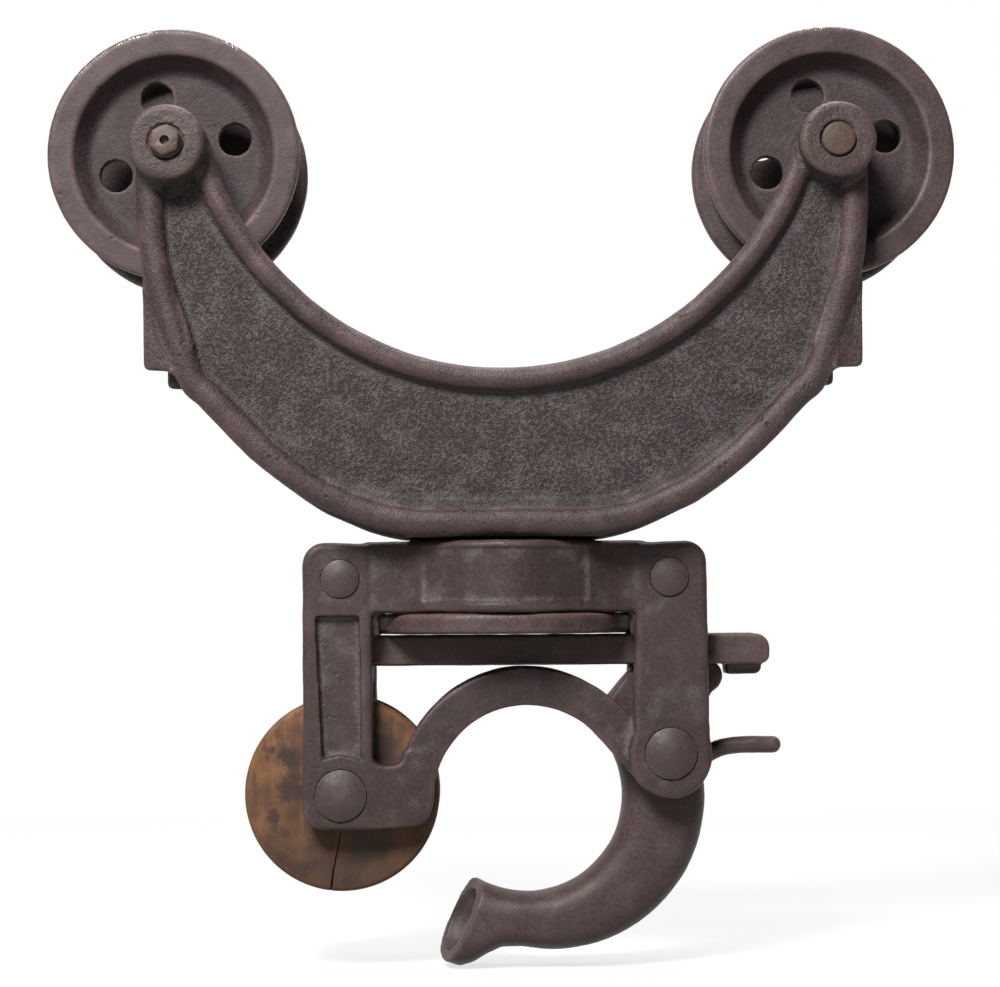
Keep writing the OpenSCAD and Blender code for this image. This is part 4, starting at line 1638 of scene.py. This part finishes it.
@dataclass
class Studio:
    """The pale floor, the soft lamps and the camera."""

    floor_z: float = HOOK_LOW.z - 0.0006
    reach: float = 9.0
    rise: float = 4.0
    back_y: float = 1.6
    seen_tone: float = 0.97
    bounce_tone: float = 0.13
    glow: float = 0.74
    glow_run: Point = (0.35, 1.3)
    bend_r: float = 0.8
    lamps: tuple[tuple[str, tuple[float, float, float], tuple[float, float], float], ...] = (
        ("key", (-0.60, -1.45, 1.15), (0.7, 0.6), 64.0),
        ("front", (-0.3, -2.4, 0.25), (1.2, 0.8), 3.0),
        ("top", (0.1, 0.45, 1.8), (1.4, 1.0), 38.0),
    )
    around: float = 0.018
    aim: tuple[float, float, float] = (0.0, 0.0, -0.1)
    camera_place: tuple[float, float, float] = (-0.0209, -1.5544, -0.1997)
    lens: float = 97.7
    turn_right: float = 0.687
    turn_up: float = 2.58
    roll: float = 0.4

    def white(self) -> bpy.types.Material:
        """Makes a floor that the camera and reflections see as white and that throws back little light.

        Returns:
            The material.
        """
        material = bpy.data.materials.new("pale_floor")
        material.use_nodes = True
        material.node_tree.nodes.clear()
        graph = Graph(material.node_tree)
        place = graph.add("ShaderNodeTexCoord").outputs["Object"]
        shade = graph.ramp(graph.noise(place, 1.2, 1.0), 0.2, 0.8)
        rays = graph.add("ShaderNodeLightPath")
        seen = graph.math("MAXIMUM", rays.outputs["Is Camera Ray"], rays.outputs["Is Glossy Ray"])
        seen = graph.math("MAXIMUM", seen, rays.outputs["Is Transmission Ray"])
        dim = graph.mix(shade, (self.bounce_tone * 0.97,) * 3, (self.bounce_tone,) * 3)
        colour = graph.mix(seen, dim, (self.seen_tone,) * 3)
        matt = graph.add("ShaderNodeBsdfDiffuse", {"Color": colour})
        glow = graph.add("ShaderNodeEmission", {"Color": (1.0, 1.0, 1.0, 1.0), "Strength": 1.0})
        depth = graph.add("ShaderNodeSeparateXYZ", {0: place}).outputs["Y"]
        far = graph.ramp(depth, *self.glow_run)
        share = graph.math("MULTIPLY", seen, graph.math("MAXIMUM", far, self.glow))
        surface = graph.add("ShaderNodeMixShader", {0: share, 1: matt.outputs[0], 2: glow.outputs[0]})
        graph.add("ShaderNodeOutputMaterial", {"Surface": surface.outputs[0]})
        return material

    def sweep(self) -> None:
        """Lays the floor, which curves up into a backdrop."""
        bend = [(self.back_y, self.floor_z)]
        bend += arc(self.back_y, self.floor_z + self.bend_r, self.bend_r, -90, 0, 16)[1:]
        line = [(-self.reach, self.floor_z), *bend, (self.back_y + self.bend_r, self.rise)]
        deselect_all()
        bpy.ops.mesh.primitive_grid_add(x_subdivisions=1, y_subdivisions=len(line) - 1, size=2.0)
        floor = bpy.context.object
        levels = sorted({round(v.co.y, 5) for v in floor.data.vertices})
        for vertex in floor.data.vertices:
            y, z = line[levels.index(round(vertex.co.y, 5))]
            vertex.co = (math.copysign(self.reach, vertex.co.x), y, z)
        floor.name = "floor_sweep"
        floor.data.materials.append(self.white())
        bpy.ops.object.shade_smooth()

    def light(self) -> None:
        """Hangs the lamps and sets the surrounding light."""
        for name, place, (width, height), power in self.lamps:
            lamp = bpy.data.lights.new(name, "AREA")
            lamp.shape = "RECTANGLE"
            lamp.size, lamp.size_y = width, height
            lamp.energy = power
            holder = bpy.data.objects.new(name, lamp)
            holder.location = place
            holder.rotation_euler = (Vector(self.aim) - Vector(place)).to_track_quat("-Z", "Y").to_euler()
            bpy.context.scene.collection.objects.link(holder)
        world = bpy.data.worlds.new("studio")
        world.use_nodes = True
        backdrop = world.node_tree.nodes["Background"]
        backdrop.inputs["Color"].default_value = (1.0, 1.0, 1.0, 1.0)
        backdrop.inputs["Strength"].default_value = self.around
        bpy.context.scene.world = world

    def shoot(self) -> None:
        """Sets up the camera."""
        camera = bpy.data.cameras.new("camera")
        camera.lens = self.lens
        camera.sensor_width = 36.0
        holder = bpy.data.objects.new("camera", camera)
        holder.location = self.camera_place
        turns = (90 + self.turn_up, self.roll, -self.turn_right)
        holder.rotation_euler = [math.radians(angle) for angle in turns]
        bpy.context.scene.collection.objects.link(holder)
        bpy.context.scene.camera = holder
        bpy.context.scene.view_settings.view_transform = "Standard"

    def build(self) -> None:
        """Makes the whole studio."""
        self.sweep()
        self.light()
        self.shoot()


def main() -> None:
    """Builds the trolley's pieces in order, and the studio round them."""
    logging.basicConfig(level=logging.INFO, format="%(message)s")
    sand_skin_group()
    patina_group()
    bare_specks_and_glints_group()
    for assembly in (Studio(), Yoke(), Wheels(), Block(), Sheave(), Hook(), LockBar()):
        assembly.build()


if __name__ == "__main__":
    main()
